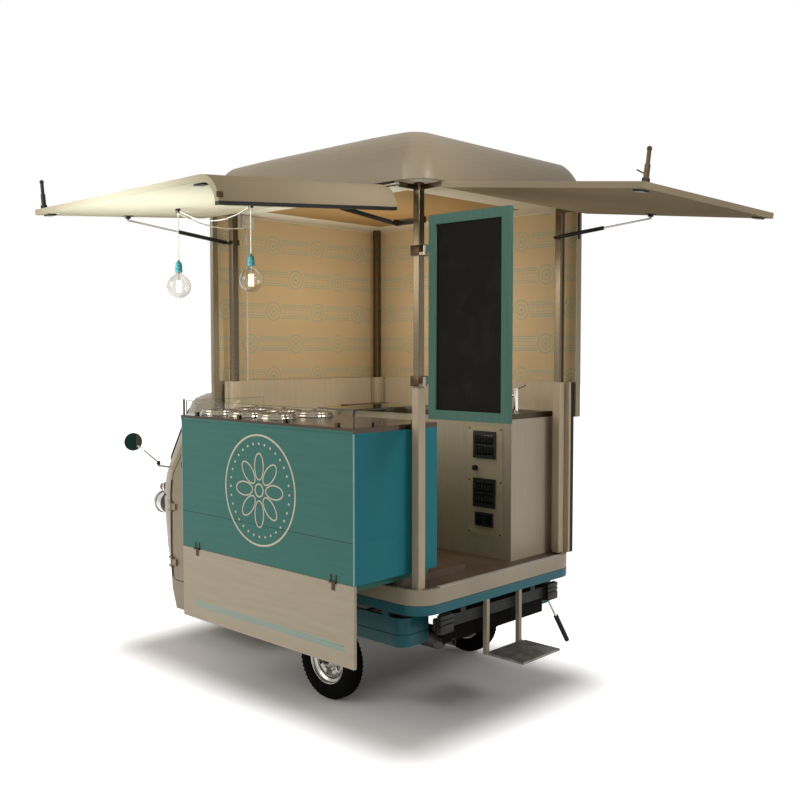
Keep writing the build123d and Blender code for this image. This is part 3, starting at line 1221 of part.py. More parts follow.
left_awning = panel + lip + bead
left_awning -= cyl_x(ax0 - 10, bead_x1 + 10, 0, 0, HINGE_PIN_R + RUN_FIT)
save("left_awning", left_place * left_awning)


def hook(x, at):
    cheeks = bx(x - 11, x - 6, at - 8, at + 8, -HOOK_DROP - 8, a_low)
    cheeks += bx(x + 6, x + 11, at - 8, at + 8, -HOOK_DROP - 8, a_low)
    return cheeks + cyl_x(x - 7, x + 7, at, -HOOK_DROP, HOOK_PIN_R)


def strut_pad(x, at):
    pad = bx(x - 16, x + 16, at - 24, at + 24, a_low - 5, a_low)
    return pad + bx(x - 9, x + 9, at - 12, at + 12, a_low - STRUT_PAD_H + 0.5, a_low - 4)


def latch_base_x(x, at):
    # Two cheeks and a pin along X on the panel's top
    near = LATCH_W / 2 + SEAT_GAP
    top = AWNING_TOP + LATCH_PIN_UP + 7
    base = bx(x - near - LATCH_CHEEK, x - near, at - 10, at + 10, AWNING_TOP, top)
    base += bx(x + near, x + near + LATCH_CHEEK, at - 10, at + 10, AWNING_TOP, top)
    return base + cyl_x(x - near - 1, x + near + 1, at, AWNING_TOP + LATCH_PIN_UP, LATCH_PIN_R)


latch_x = ax1 - 40.0
latch_at = LEFT_DEPTH - LATCH_AT
seal = bx(ax0 - LIP_R, ax0 - LIP_R + AWNING_T, AWNING_INSET, LEFT_DEPTH, lip_z - LIP_SEAL, lip_z)
hook_fx = PX_R + HOOK_FRONT_X
hook_rx = PX_R + HOOK_REAR_X
fit_left = [
    seal,
    hook(hook_fx, HOOK_FRONT_AT),
    hook(hook_rx, HOOK_REAR_AT),
    strut_pad(strut_rear_x, LEFT_STRUT_AT),
    strut_pad(strut_front_x, LEFT_STRUT_AT),
    bx(ax0 + 30, ax0 + 90, LEFT_DEPTH - 70, LEFT_DEPTH - 30, a_low - 8, a_low),
    bx(ax1 - 90, ax1 - 30, LEFT_DEPTH - 70, LEFT_DEPTH - 30, a_low - 8, a_low),
    latch_base_x(latch_x, latch_at),
]
save("left_awning_fittings", *[left_place * item for item in fit_left])


def make_latch_x(x, at):
    axis_z = AWNING_TOP + LATCH_PIN_UP
    half = LATCH_W / 2
    neck = half - 3.0
    body = cyl_x(x - half, x + half, at, axis_z, 8)
    body += bx(x - half, x + half, at - 8, at + 8, axis_z, axis_z + LATCH_FOOT)
    body += bx(x - neck, x + neck, at - 6, at + 6, axis_z + LATCH_FOOT, axis_z + LATCH_H - 12)
    body += Pos(x, at, axis_z + LATCH_H - 12) * Sphere(half + 1)
    return body - cyl_x(x - 20, x + 20, at, axis_z, LATCH_PIN_R + RUN_FIT)


save("left_awning_latch", left_place * make_latch_x(latch_x, latch_at))

# Rear awning, made along +Y like the left one and turned to the back
rear_place = Pos(REAR_HINGE_X, 0, HINGE_Z) * Rot(0, 0, 90) * Rot(-REAR_DROOP, 0, 0)
# In this local frame X runs to the vehicle's left and Y runs to the back
ry0, ry1 = REAR_RIGHT_EDGE, REAR_LEFT_EDGE
rear_panel = bx(ry0, ry1, AWNING_INSET, REAR_DEPTH, a_low, AWNING_TOP)
rear_bead_half = inner_face - LUG_T - SEAT_GAP
rear_panel += cyl_x(-rear_bead_half, rear_bead_half, 0, 0, HINGE_BEAD_R)
rear_panel += bx(-rear_bead_half, rear_bead_half, 0, AWNING_INSET + 1, -8, 8)
rear_panel -= cyl_x(-rear_bead_half - 10, rear_bead_half + 10, 0, 0, HINGE_PIN_R + RUN_FIT)
save("rear_awning", rear_place * rear_panel)
rear_latch_x = ry1 - 55.0
rear_latch_at = REAR_DEPTH - LATCH_AT
fit_rear = [
    strut_pad(rear_strut_y, REAR_STRUT_AT),
    bx(ry1 - 90, ry1 - 30, REAR_DEPTH - 70, REAR_DEPTH - 30, a_low - 8, a_low),
    bx(ry0 + 30, ry0 + 90, REAR_DEPTH - 70, REAR_DEPTH - 30, a_low - 8, a_low),
    latch_base_x(rear_latch_x, rear_latch_at),
]
save("rear_awning_fittings", *[rear_place * item for item in fit_rear])
rear_latch = make_latch_x(rear_latch_x, rear_latch_at)
trigger = bar_between((rear_latch_x, rear_latch_at - 4, AWNING_TOP + LATCH_PIN_UP + 22),
                      (rear_latch_x, rear_latch_at - 46, AWNING_TOP + LATCH_PIN_UP + 40), 3)
save("rear_awning_latch", rear_place * (rear_latch + trigger))


# Gas struts: tube on a post pin, rod end resting under the awning's pad
def pad_point(at, droop, out):
    a = math.radians(droop)
    drop = -STRUT_DROP
    y = out + at * math.cos(a) + drop * math.sin(a)
    z = HINGE_Z - at * math.sin(a) + drop * math.cos(a)
    return y, z


def strut_tube(length):
    # Along +Y from the pin at the origin, the pin lies on X
    tube = cyl_x(-eye_half, eye_half, 0, 0, STRUT_EYE_R)
    tube += cyl_y(0, 0, STRUT_NECK + 1, 0, STRUT_NECK_R)
    tube += cyl_y(0, STRUT_NECK, length, 0, STRUT_R)
    tube -= cyl_y(0, STRUT_NECK + 3, length + 1, 0, STRUT_ROD_R + STRUT_FIT)
    return tube - cyl_x(-20, 20, 0, 0, STRUT_PIN_R + RUN_FIT)


def strut_rod(length, reach):
    rod = cyl_y(0, reach - length, reach - 2, 0, STRUT_ROD_R)
    return rod + Pos(0, reach, 0) * Sphere(STRUT_BALL_R)


left_y, left_z = pad_point(LEFT_STRUT_AT, LEFT_DROOP, HINGE_Y)
left_reach = math.hypot(left_y - LEFT_STRUT_Y, left_z - LEFT_STRUT_Z)
left_rise = math.degrees(math.atan2(left_z - LEFT_STRUT_Z, left_y - LEFT_STRUT_Y))
tubes = []
rods = []
for sx in (strut_rear_x, strut_front_x):
    place = Pos(sx, LEFT_STRUT_Y, LEFT_STRUT_Z) * Rot(left_rise, 0, 0)
    tubes.append(place * strut_tube(LEFT_STRUT_TUBE))
    rods.append(place * strut_rod(LEFT_STRUT_ROD, left_reach))
save("left_strut_tubes", *tubes)
save("left_strut_rods", *rods)
rear_o, rear_z = pad_point(REAR_STRUT_AT, REAR_DROOP, REAR_HINGE_OUT)
rear_reach = math.hypot(rear_o, rear_z - REAR_STRUT_Z)
rear_rise = math.degrees(math.atan2(rear_z - REAR_STRUT_Z, rear_o))
place = Pos(PX_R, rear_strut_y, REAR_STRUT_Z) * Rot(0, 0, 90) * Rot(rear_rise, 0, 0)
save("rear_strut_tube", place * strut_tube(REAR_STRUT_TUBE))
save("rear_strut_rod", place * strut_rod(REAR_STRUT_ROD, rear_reach))


# Pendant lamps on the awning's hooks
def hook_point(at):
    a = math.radians(LEFT_DROOP)
    y = HINGE_Y + at * math.cos(a) - HOOK_DROP * math.sin(a)
    z = HINGE_Z - at * math.sin(a) - HOOK_DROP * math.cos(a)
    return y, z


def make_pendant(x, at, drop):
    y, z = hook_point(at)
    bulb_z = z - drop
    holder_z0 = bulb_z + BULB_R + 12.0
    holder_z1 = holder_z0 + HOLDER_H
    eye = cyl_x(x - 5, x + 5, y, z, HOOK_PIN_R + 4) - cyl_x(x - 6, x + 6, y, z, HOOK_PIN_R + SEAT_GAP)
    cord = cyl_z(x, y, holder_z1, z - HOOK_PIN_R - 2, CORD_R)
    holder = cyl_z(x, y, holder_z0, holder_z1, HOLDER_R)
    bulb = Pos(x, y, bulb_z) * Sphere(BULB_R) + cyl_z(x, y, bulb_z + BULB_R - 14, holder_z0, HOLDER_R - 4)
    return [eye + cord, holder, bulb]


save("front_pendant_lamp", *make_pendant(hook_fx, HOOK_FRONT_AT, DROP_FRONT))
save("rear_pendant_lamp", *make_pendant(hook_rx, HOOK_REAR_AT, DROP_REAR))

# Junction box under the ceiling with a conduit down to the front wall
jx1 = liner_x1 - LINER_T
jx0 = jx1 - JBOX_D
jbox = bx(jx0, jx1, JBOX_Y - JBOX_W / 2, JBOX_Y + JBOX_W / 2, EAVE_Z - JBOX_H, EAVE_Z)
conduit_x = WALL_IN_X + LOWER_WALL_T / 2
conduit = cyl_z(conduit_x, JBOX_Y, SLEEVE_TOP, EAVE_Z - JBOX_H, CONDUIT_R)
save("junction_box", jbox, conduit)


# Supply cord from the box to the front hook, and a swag from there to the rear hook
def cord_tube(points, name):
    vectors = [Vector(*p) for p in points]
    radii = []
    for a, m, c in zip(vectors, vectors[1:], vectors[2:]):
        run = min((m - a).length, (c - m).length)
        turn = (m - a).get_angle(c - m)
        radii.append(0.45 * run / math.tan(math.radians(turn) / 2))
    path = FilletPolyline(*points, radius=radii)
    start = Plane(origin=path @ 0, z_dir=path % 0)
    return sweep(start * Circle(CORD_R), path=path)


hook_y, hook_z = hook_point(HOOK_FRONT_AT)
rear_hook_y, rear_hook_z = hook_point(HOOK_REAR_AT)
hook_side = 13.4
start_x = jx0 - 1.2
start_z = EAVE_Z - 50.0
SUPPLY = [
    (start_x, JBOX_Y + 30, start_z),
    (start_x - 31, JBOX_Y + 37, start_z - 12),
    (start_x - 61, JBOX_Y + 54, start_z - 25),
    (start_x - 88, JBOX_Y + 84, start_z - 37),
    (start_x - 110, JBOX_Y + 126, start_z - 48),
    (start_x - 132, JBOX_Y + 182, start_z - 57),
    (start_x - 158, JBOX_Y + 248, start_z - 65),
    (start_x - 186, JBOX_Y + 318, start_z - 71),
    (start_x - 214, JBOX_Y + 390, start_z - 74),
    (start_x - 243, JBOX_Y + 461, start_z - 74),
    (start_x - 273, JBOX_Y + 531, start_z - 71),
    (start_x - 303, JBOX_Y + 600, start_z - 64),
    (start_x - 331, JBOX_Y + 664, start_z - 55),
    (hook_fx + hook_side + 0.8, hook_y - 2, hook_z - 4),
]
swag_a = (hook_fx - hook_side, hook_y, hook_z)
swag_b = (hook_rx + hook_side, rear_hook_y, rear_hook_z)
SWAG = [swag_a]
SWAG_SAG = 60.0
SWAG_STEPS = 7
for i in range(1, SWAG_STEPS):
    k = i / SWAG_STEPS
    px = swag_a[0] + (swag_b[0] - swag_a[0]) * k
    py = swag_a[1] + (swag_b[1] - swag_a[1]) * k
    pz = swag_a[2] + (swag_b[2] - swag_a[2]) * k - 4 * SWAG_SAG * k * (1 - k)
    SWAG.append((px, py, pz))
SWAG.append(swag_b)
save("supply_cord", cord_tube(SUPPLY, "supply"))
save("lamp_swag", cord_tube(SWAG, "swag"))
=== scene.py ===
import math

import bmesh
import bpy
from bpy.props import FloatProperty, FloatVectorProperty, IntProperty, PointerProperty
from mathutils import Matrix, Vector


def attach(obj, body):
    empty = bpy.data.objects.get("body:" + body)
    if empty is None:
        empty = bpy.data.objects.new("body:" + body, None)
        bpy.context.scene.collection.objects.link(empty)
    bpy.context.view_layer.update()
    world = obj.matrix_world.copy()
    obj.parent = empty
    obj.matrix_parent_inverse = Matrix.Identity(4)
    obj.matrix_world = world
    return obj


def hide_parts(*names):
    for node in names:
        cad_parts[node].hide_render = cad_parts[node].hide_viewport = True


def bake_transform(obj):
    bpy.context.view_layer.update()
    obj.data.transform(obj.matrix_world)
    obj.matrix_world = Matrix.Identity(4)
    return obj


bl_info = {
    "name": "Three-wheeler food truck",
    "version": (1, 0, 0),
    "blender": (4, 5, 0),
    "location": "View3D > Sidebar > Truck",
    "description": "Dresses the food truck's CAD frame with finishes, trim, cords and lamps",
    "category": "Object",
}

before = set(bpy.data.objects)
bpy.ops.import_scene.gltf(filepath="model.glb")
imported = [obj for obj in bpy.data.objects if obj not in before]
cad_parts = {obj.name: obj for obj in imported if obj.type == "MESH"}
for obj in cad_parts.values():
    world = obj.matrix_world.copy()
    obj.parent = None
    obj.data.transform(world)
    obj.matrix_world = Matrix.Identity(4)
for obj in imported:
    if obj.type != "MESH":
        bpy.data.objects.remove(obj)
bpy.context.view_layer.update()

# Places of pieces, in metres, in the CAD frame
HINGE_Y = 0.700
HINGE_Z = 2.672
LEFT_DROOP = math.radians(4.65)
COUNTER_LOW = (-2.205, 0.410, 0.785)
COUNTER_HIGH = (-0.805, 0.990, 1.523)
AXLE_Z = 0.213
# Each wheel's name, place along X and Y, and the side that its rim faces
WHEELS = (
    ("front", (0.0, 0.0), -1),
    ("rear_left", (-1.590, 0.575), 1),
    ("rear_right", (-1.590, -0.575), -1),
)
# Pendant hooks on the left awning: along X, out from the hinge line, up from the hinge plane
FRONT_HOOK = (-1.113, 0.505, -0.030)
REAR_HOOK = (-1.425, 0.275, -0.030)
SWAG_SAG = 0.060
LID_PITCH = 0.255
FIRST_LID_XY = (-1.450, 0.825)
RING_MIDDLE_XZ = (-1.500, 1.165)
FLAP_HINGES_X = (-2.085, -0.969)
HEAD_LAMP_YZ = (0.400, 0.846)
TAIL_LAMP_Y = 0.455
MIRROR_PIN = (0.088, 0.580, 1.126)
BOARD_HINGE_XY = (-2.312, 0.6175)
BOARD_CLAMPS_Z = (1.735, 2.364)
LEVER_PIVOT = (-2.260, -0.487, 0.465)
SWITCH_FACE_Y = -0.2320
SWITCH_FRAMES_Z = ((1.270, 1.425), (0.990, 1.155))
RIGHT_PANEL_Y = -0.7110
FRONT_PANEL_X = -0.6470
CONDUIT_XY = (-0.725, 0.470)
RIM_LINE_Z = 0.637
# Cab outline: height, half width, end of the flat side, reach of the nose
CAB_ROWS = (
    (0.205, 0.560, -0.075, 0.120),
    (0.345, 0.590, -0.075, 0.240),
    (0.600, 0.600, -0.075, 0.350),
    (0.830, 0.600, -0.075, 0.395),
    (0.960, 0.600, -0.075, 0.400),
    (1.060, 0.592, -0.075, 0.372),
    (1.130, 0.584, -0.080, 0.335),
    (1.330, 0.553, -0.175, 0.240),
    (1.530, 0.522, -0.275, 0.140),
    (1.570, 0.500, -0.290, 0.115),
    (1.600, 0.440, -0.330, 0.040),
)


def lin(code):
    """Turns an sRGB hex code into linear red, green, blue and alpha."""
    parts = [int(code[i:i + 2], 16) / 255 for i in (1, 3, 5)]
    return tuple(c / 12.92 if c <= 0.04045 else ((c + 0.055) / 1.055) ** 2.4 for c in parts) + (1.0,)


class TruckColours(bpy.types.PropertyGroup):
    """Colours that a user would change."""
    cream: FloatVectorProperty(
        name="Cream coachwork", description="Paint on the roof, awnings and wall panels",
        subtype="COLOR", size=4, min=0, max=1, default=lin("#988a72"))
    board: FloatVectorProperty(
        name="Cream boards", description="Paint on the flap, the cabinet and the deck rim",
        subtype="COLOR", size=4, min=0, max=1, default=lin("#a39782"))
    teal: FloatVectorProperty(
        name="Teal boards", description="Paint on the serving counter",
        subtype="COLOR", size=4, min=0, max=1, default=lin("#3a6f67"))
    band: FloatVectorProperty(
        name="Teal band", description="Paint on the deck band and the mudguards",
        subtype="COLOR", size=4, min=0, max=1, default=lin("#145a63"))
    lining: FloatVectorProperty(
        name="Lining", description="Ground colour of the printed wall lining",
        subtype="COLOR", size=4, min=0, max=1, default=lin("#bda47e"))
    cover: FloatVectorProperty(
        name="Bench cover", description="Cover of the driver's bench",
        subtype="COLOR", size=4, min=0, max=1, default=lin("#5a4433"))


class TruckSizes(bpy.types.PropertyGroup):
    """Sizes of the dressed pieces that a user would change."""
    tread_blocks: IntProperty(
        name="Tread blocks", description="Shoulder blocks round each side of a tyre",
        default=54, min=12, max=90)
    cord_radius: FloatProperty(
        name="Cord radius", description="Half the thickness of the lamp cords", default=0.003,
        min=0.001, max=0.006, unit="LENGTH")
    bulb_radius: FloatProperty(
        name="Bulb radius", description="Radius of the pendant globes", default=0.0615,
        min=0.05, max=0.062, unit="LENGTH")
    ring_radius: FloatProperty(
        name="Counter ring", description="Radius of the ring on the counter's front", default=0.285,
        min=0.1, max=0.3, unit="LENGTH")
    seal_radius: FloatProperty(
        name="Window seal", description="Half the width of the rubber round the cab's windows", default=0.008,
        min=0.004, max=0.015, unit="LENGTH")


class TruckStudio(bpy.types.PropertyGroup):
    """Light of the studio."""
    world: FloatProperty(
        name="Room light", description="Strength of the even light from all round",
        default=0.36, min=0, max=2)
    key: FloatProperty(
        name="Key lamp", description="Power of the large lamp on the serving side", default=190.0,
        min=0, max=2000, unit="POWER")
    fill: FloatProperty(
        name="Fill lamp", description="Power of the lamp behind the truck", default=5.4,
        min=0, max=2000, unit="POWER")
    top: FloatProperty(
        name="Top lamp", description="Power of the lamp overhead",
        default=44.0, min=0, max=2000, unit="POWER")
    roof: FloatProperty(
        name="Roof lamp", description="Power of the narrow lamp on the roof's rear and the awning's lip",
        default=4.6, min=0, max=2000, unit="POWER")
    under: FloatProperty(
        name="Underside lamp", description="Power of the low lamp that stands in for light off the ground",
        default=30.0, min=0, max=2000, unit="POWER")
    inside: FloatProperty(
        name="Inside lamp", description="Power of the lamp that stands in for light off the linings",
        default=16.0, min=0, max=60, unit="POWER")


def add(tree, kind, values=None, **settings):
    """Adds a node; values maps inputs to numbers, colours or other nodes' outputs."""
    made = tree.nodes.new(kind)
    for key, value in settings.items():
        setattr(made, key, value)
    for key, value in (values or {}).items():
        if isinstance(value, bpy.types.NodeSocket):
            tree.links.new(value, made.inputs[key])
        else:
            made.inputs[key].default_value = value
    return made


def surface(
        name, colour, shade, patch, rough, grain, depth, metal=0.0, stretch=(1, 1, 1), coat=0.0, shine=0.5):
    """One finish: two shades in patches, and a grain that varies the gloss and lifts the surface."""
    mat = bpy.data.materials.new(name)
    mat.use_nodes = True
    tree = mat.node_tree
    skin = tree.nodes["Principled BSDF"]
    place = add(tree, "ShaderNodeTexCoord").outputs["Object"]
    drawn = add(tree, "ShaderNodeMapping", {"Vector": place, "Scale": stretch}).outputs[0]
    cloud = add(tree, "ShaderNodeTexNoise", {"Vector": drawn, "Scale": 1 / patch, "Detail": 4.0})
    fine = add(tree, "ShaderNodeTexNoise", {"Vector": drawn, "Scale": 1 / grain, "Detail": 2.0})
    share = add(tree, "ShaderNodeMapRange", {"Value": cloud.outputs[0], "From Min": 0.3, "From Max": 0.7})
    tone = add(tree, "ShaderNodeMix", {0: share.outputs[0], 6: colour, 7: shade}, data_type="RGBA")
    gloss = add(tree, "ShaderNodeMapRange", {
        "Value": fine.outputs[0], "From Min": 0.3, "From Max": 0.7, "To Min": rough[0], "To Max": rough[1]})
    lift = add(tree, "ShaderNodeBump", {"Height": fine.outputs[0], "Distance": depth, "Strength": 0.7})
    tree.links.new(tone.outputs[2], skin.inputs["Base Color"])
    tree.links.new(gloss.outputs[0], skin.inputs["Roughness"])
    tree.links.new(lift.outputs[0], skin.inputs["Normal"])
    skin.inputs["Metallic"].default_value = metal
    skin.inputs["Coat Weight"].default_value = coat
    skin.inputs["Specular IOR Level"].default_value = shine
    return mat, tree, skin, {"place": place, "tone": tone, "gloss": gloss, "lift": lift, "fine": fine}


def shaded(colour, factor):
    """A colour made lighter or darker."""
    return tuple(min(1.0, c * factor) for c in colour[:3]) + (1.0,)


def tinted_over(tree, skin, parts, mask, colour):
    """Lays another colour over the finish where the mask is one."""
    over = add(tree, "ShaderNodeMix", {0: mask, 6: parts["tone"].outputs[2], 7: colour}, data_type="RGBA")
    tree.links.new(over.outputs[2], skin.inputs["Base Color"])
    parts["tone"] = over


def both(tree, one, two, operation="MULTIPLY"):
    """Joins two values or masks by one operation."""
    return add(tree, "ShaderNodeMath", {0: one, 1: two}, operation=operation).outputs[0]


def single(tree, value, operation):
    """Turns one value into another by one operation."""
    return add(tree, "ShaderNodeMath", {0: value}, operation=operation).outputs[0]


def within(tree, value, low, high):
    """A mask that is one where a value lies between two limits."""
    off = both(tree, value, (low + high) / 2, "SUBTRACT")
    return both(tree, single(tree, off, "ABSOLUTE"), (high - low) / 2, "LESS_THAN")


def axes(tree, place):
    """The three coordinates of a place, one output each."""
    return add(tree, "ShaderNodeSeparateXYZ", {0: place}).outputs


def distance(tree, across, up):
    """Length of a line from how far it goes in two directions."""
    line = add(tree, "ShaderNodeCombineXYZ", {0: across, 1: up}).outputs[0]
    return add(tree, "ShaderNodeVectorMath", {0: line}, operation="LENGTH").outputs["Value"]


def coach_paint(name, colour, coat=0.12, shine=0.5):
    """Sprayed satin paint on moulded panels: slight orange peel 3 mm across, soft clouding over 0.5 m."""
    mat, tree, skin, parts = surface(
        name, shaded(colour, 1.05), shaded(colour, 0.94), 0.5, (0.36, 0.44), 0.003, 0.0001, coat=coat,
        shine=shine)
    spots = add(tree, "ShaderNodeTexNoise", {"Vector": parts["place"], "Scale": 60.0, "Detail": 6.0})
    dust = add(tree, "ShaderNodeMapRange", {
        "Value": spots.outputs[0], "From Min": 0.62, "From Max": 0.75, "To Max": 0.10})
    tinted_over(tree, skin, parts, dust.outputs[0], shaded(colour, 0.6))
    skin.inputs["Coat Roughness"].default_value = 0.25
    return mat


def board_paint(name, colour, stretch, seam=None, depth=0.0005, streaks=0.07, shine=0.5):
    """Brushed paint on boards: grain drawn out along the boards, perhaps an open seam 3 mm wide."""
    mat, tree, skin, parts = surface(
        name, shaded(colour, 1.04), shaded(colour, 0.95), 0.30, (0.42, 0.60), 0.020, depth, stretch=stretch,
        shine=shine)
    lines = add(tree, "ShaderNodeMapping", {"Vector": parts["place"], "Scale": stretch}).outputs[0]
    grain = add(tree, "ShaderNodeTexNoise", {"Vector": lines, "Scale": 9.0, "Detail": 8.0, "Roughness": 0.7})
    streak = add(tree, "ShaderNodeMapRange", {
        "Value": grain.outputs[0], "From Min": 0.56, "From Max": 0.74, "To Max": streaks})
    tinted_over(tree, skin, parts, streak.outputs[0], shaded(colour, 0.62))
    if seam:
        height = axes(tree, parts["place"])[2]
        gap = within(tree, height, seam - 0.0016, seam + 0.0016)
        tinted_over(tree, skin, parts, gap, shaded(colour, 0.30))
        groove = add(tree, "ShaderNodeBump", {
            "Height": gap, "Distance": 0.002, "Normal": parts["lift"].outputs[0]}, invert=True)
        tree.links.new(groove.outputs[0], skin.inputs["Normal"])
    return mat


def counter_boards(name, teal):
    """Teal boards with one open seam; the end board, on the side away from the key lamp, is painted a darker,
    bluer teal as painted shade.
    """
    mat = board_paint(name, teal, (1.0, 1.0, 16.0), 0.985, streaks=0.16, shine=0.2)
    tree = mat.node_tree
    skin = tree.nodes["Principled BSDF"]
    place = add(tree, "ShaderNodeTexCoord").outputs["Object"]
    along = axes(tree, place)[0]
    # Painted shade: the end face, which the key lamp does not reach, gets a darker, bluer teal in its colour.
    end = both(tree, along, COUNTER_LOW[0] + 0.0005, "LESS_THAN")
    coat = skin.inputs["Base Color"].links[0].from_socket
    end_painted_shade = add(tree, "ShaderNodeMix", {0: end, 6: coat, 7: lin("#1b727c")}, data_type="RGBA")
    tree.links.new(end_painted_shade.outputs[2], skin.inputs["Base Color"])
    return mat


def glass_edge(name):
    """Ground edge of sheet glass: dark green-brown, smooth, with a faint saw grain along it."""
    return surface(
        name, lin("#3d3a28"), lin("#2e2d20"), 0.10, (0.18, 0.30), 0.003, 0.00004, stretch=(1, 1, 20))[0]


def rim_paint(name, cream, band):
    """Deck rim: cream above, teal below, with a thin shadow line where the two meet."""
    mat, tree, skin, parts = surface(
        name, shaded(cream, 1.04), shaded(cream, 0.90), 0.3, (0.36, 0.5), 0.004, 0.0002, coat=0.02,
        shine=0.25)
    height = axes(tree, parts["place"])[2]
    low = both(tree, height, RIM_LINE_Z, "LESS_THAN")
    tinted_over(tree, skin, parts, low, band)
    line = within(tree, height, RIM_LINE_Z - 0.0015, RIM_LINE_Z + 0.0015)
    tinted_over(tree, skin, parts, line, lin("#22221f"))
    return mat


def lining_print(name, ground):
    """Matt printed lining: rings 0.36 m apart with ruled lines between them; a warm panel on the ceiling."""
    mat, tree, skin, parts = surface(
        name, shaded(ground, 1.04), shaded(ground, 0.94), 0.6, (0.62, 0.75), 0.002, 0.0001)
    pitch_u, pitch_v = 0.3625, 0.2025
    spot = axes(tree, parts["place"])
    along = both(tree, spot[0], spot[1], "SUBTRACT")
    row = both(tree, spot[2], pitch_v, "DIVIDE")
    odd = both(tree, single(tree, row, "FLOOR"), 2.0, "MODULO")
    column = both(tree, both(tree, along, pitch_u, "DIVIDE"), both(tree, odd, 0.5), "ADD")
    offsets = []
    for value, size in ((column, pitch_u), (row, pitch_v)):
        part = single(tree, value, "FRACT")
        offsets.append(both(tree, both(tree, part, 0.5, "SUBTRACT"), size))
    far = distance(tree, *offsets)
    motif = both(tree, far, 0.010, "LESS_THAN")
    for radius in (0.030, 0.056):
        motif = both(tree, motif, within(tree, far, radius - 0.0032, radius + 0.0032), "MAXIMUM")
    clear = both(tree, far, 0.078, "GREATER_THAN")
    dash = single(tree, both(tree, along, 0.036, "DIVIDE"), "FRACT")
    dash = both(tree, dash, 0.62, "LESS_THAN")
    off = single(tree, offsets[1], "ABSOLUTE")
    rules = both(tree, within(tree, off, 0.0390, 0.0440), within(tree, off, 0.0260, 0.0310), "MAXIMUM")
    rules = both(tree, rules, both(tree, within(tree, off, 0.0100, 0.0150), dash), "MAXIMUM")
    motif = both(tree, motif, both(tree, rules, clear), "MAXIMUM")
    wall = both(tree, spot[2], 2.684, "LESS_THAN")
    tinted_over(tree, skin, parts, both(tree, both(tree, motif, wall), 0.90), lin("#86a18f"))
    ceiling = both(tree, 1.0, wall, "SUBTRACT")
    tinted_over(tree, skin, parts, ceiling, lin("#c2b6a0"))
    middle = both(
        tree, within(tree, spot[0], -2.06, -0.92), within(tree, spot[1], -0.47, 0.47))
    tinted_over(tree, skin, parts, both(tree, ceiling, middle), lin("#87683f"))
    return mat


def metal(name, tone, rough, stretch=(1, 1, 1), smear=0.35):
    """Bare or plated metal with fine brushing or polish marks and faint smears."""
    return surface(
        name, lin(tone), shaded(lin(tone), 0.82), smear, rough, 0.004, 0.00004, metal=1.0, stretch=stretch)[0]


def worktop_sheet(name):
    """Bronzed steel worktop with brushing along it, its tone darkened as painted reflection to stand in for
    the darker surroundings it reflects; the tap that stands on it is bright chrome.
    """
    mat, tree, skin, parts = surface(
        name, lin("#493f2f"), lin("#3d3527"), 0.35, (0.30, 0.42), 0.004, 0.00004, metal=1.0,
        stretch=(2, 40, 2))
    height = axes(tree, parts["place"])[2]
    tap = both(tree, height, 1.5308, "GREATER_THAN")
    tinted_over(tree, skin, parts, tap, lin("#d8d6d2"))
    bright = add(tree, "ShaderNodeMix", {0: tap, 2: parts["gloss"].outputs[0], 3: 0.07})
    tree.links.new(bright.outputs[0], skin.inputs["Roughness"])
    return mat


def black_part(name, tone, rough, grain, depth, shine=0.25):
    """Black rubber, plastic or enamel with a fine texture and dusty patches."""
    return surface(
        name, lin(tone), shaded(lin(tone), 1.6), 0.08, rough, grain, depth, shine=shine)[0]


def chassis_enamel(name, cream):
    """Black enamel on the chassis; the step's hangers at the back are painted cream."""
    mat, tree, skin, parts = surface(
        name, lin("#141414"), lin("#1f1e1d"), 0.08, (0.45, 0.65), 0.006, 0.0003, shine=0.25)
    spot = axes(tree, parts["place"])
    hanger = both(
        tree, within(tree, spot[0], -2.350, -2.2995), within(tree, spot[1], -0.156, 0.156))
    tinted_over(tree, skin, parts, hanger, cream)
    return mat


def tread_plate(name):
    """Steel plate with raised oval studs on a 22 mm pitch, dulled by shoes."""
    mat, tree, skin, parts = surface(
        name, lin("#8b867f"), lin("#5c5751"), 0.06, (0.34, 0.62), 0.005, 0.0001, metal=0.9)
    cells = add(tree, "ShaderNodeTexVoronoi", {
        "Vector": parts["place"], "Scale": 1 / 0.022, "Randomness": 0.0})
    stud = add(tree, "ShaderNodeMapRange", {
        "Value": cells.outputs["Distance"], "From Min": 0.25, "From Max": 0.42, "To Min": 1.0, "To Max": 0.0})
    raised = add(tree, "ShaderNodeBump", {
        "Height": stud.outputs[0], "Distance": 0.0015, "Normal": parts["lift"].outputs[0]})
    tree.links.new(raised.outputs[0], skin.inputs["Normal"])
    return mat


def floor_sheet(name):
    """Brown vinyl floor sheet with fine pale speckle; its brown, the sheet's own, is darkened further as
    painted shade for the shade on the deck.
    """
    mat, tree, skin, parts = surface(
        name, lin("#5e4c3c"), lin("#48392d"), 0.25, (0.45, 0.6), 0.003, 0.0002)
    specks = add(tree, "ShaderNodeTexVoronoi", {"Vector": parts["place"], "Scale": 260.0})
    light = both(tree, specks.outputs["Distance"], 0.22, "LESS_THAN")
    light = both(tree, light, 0.35)
    tinted_over(tree, skin, parts, light, lin("#a08b70"))
    return mat


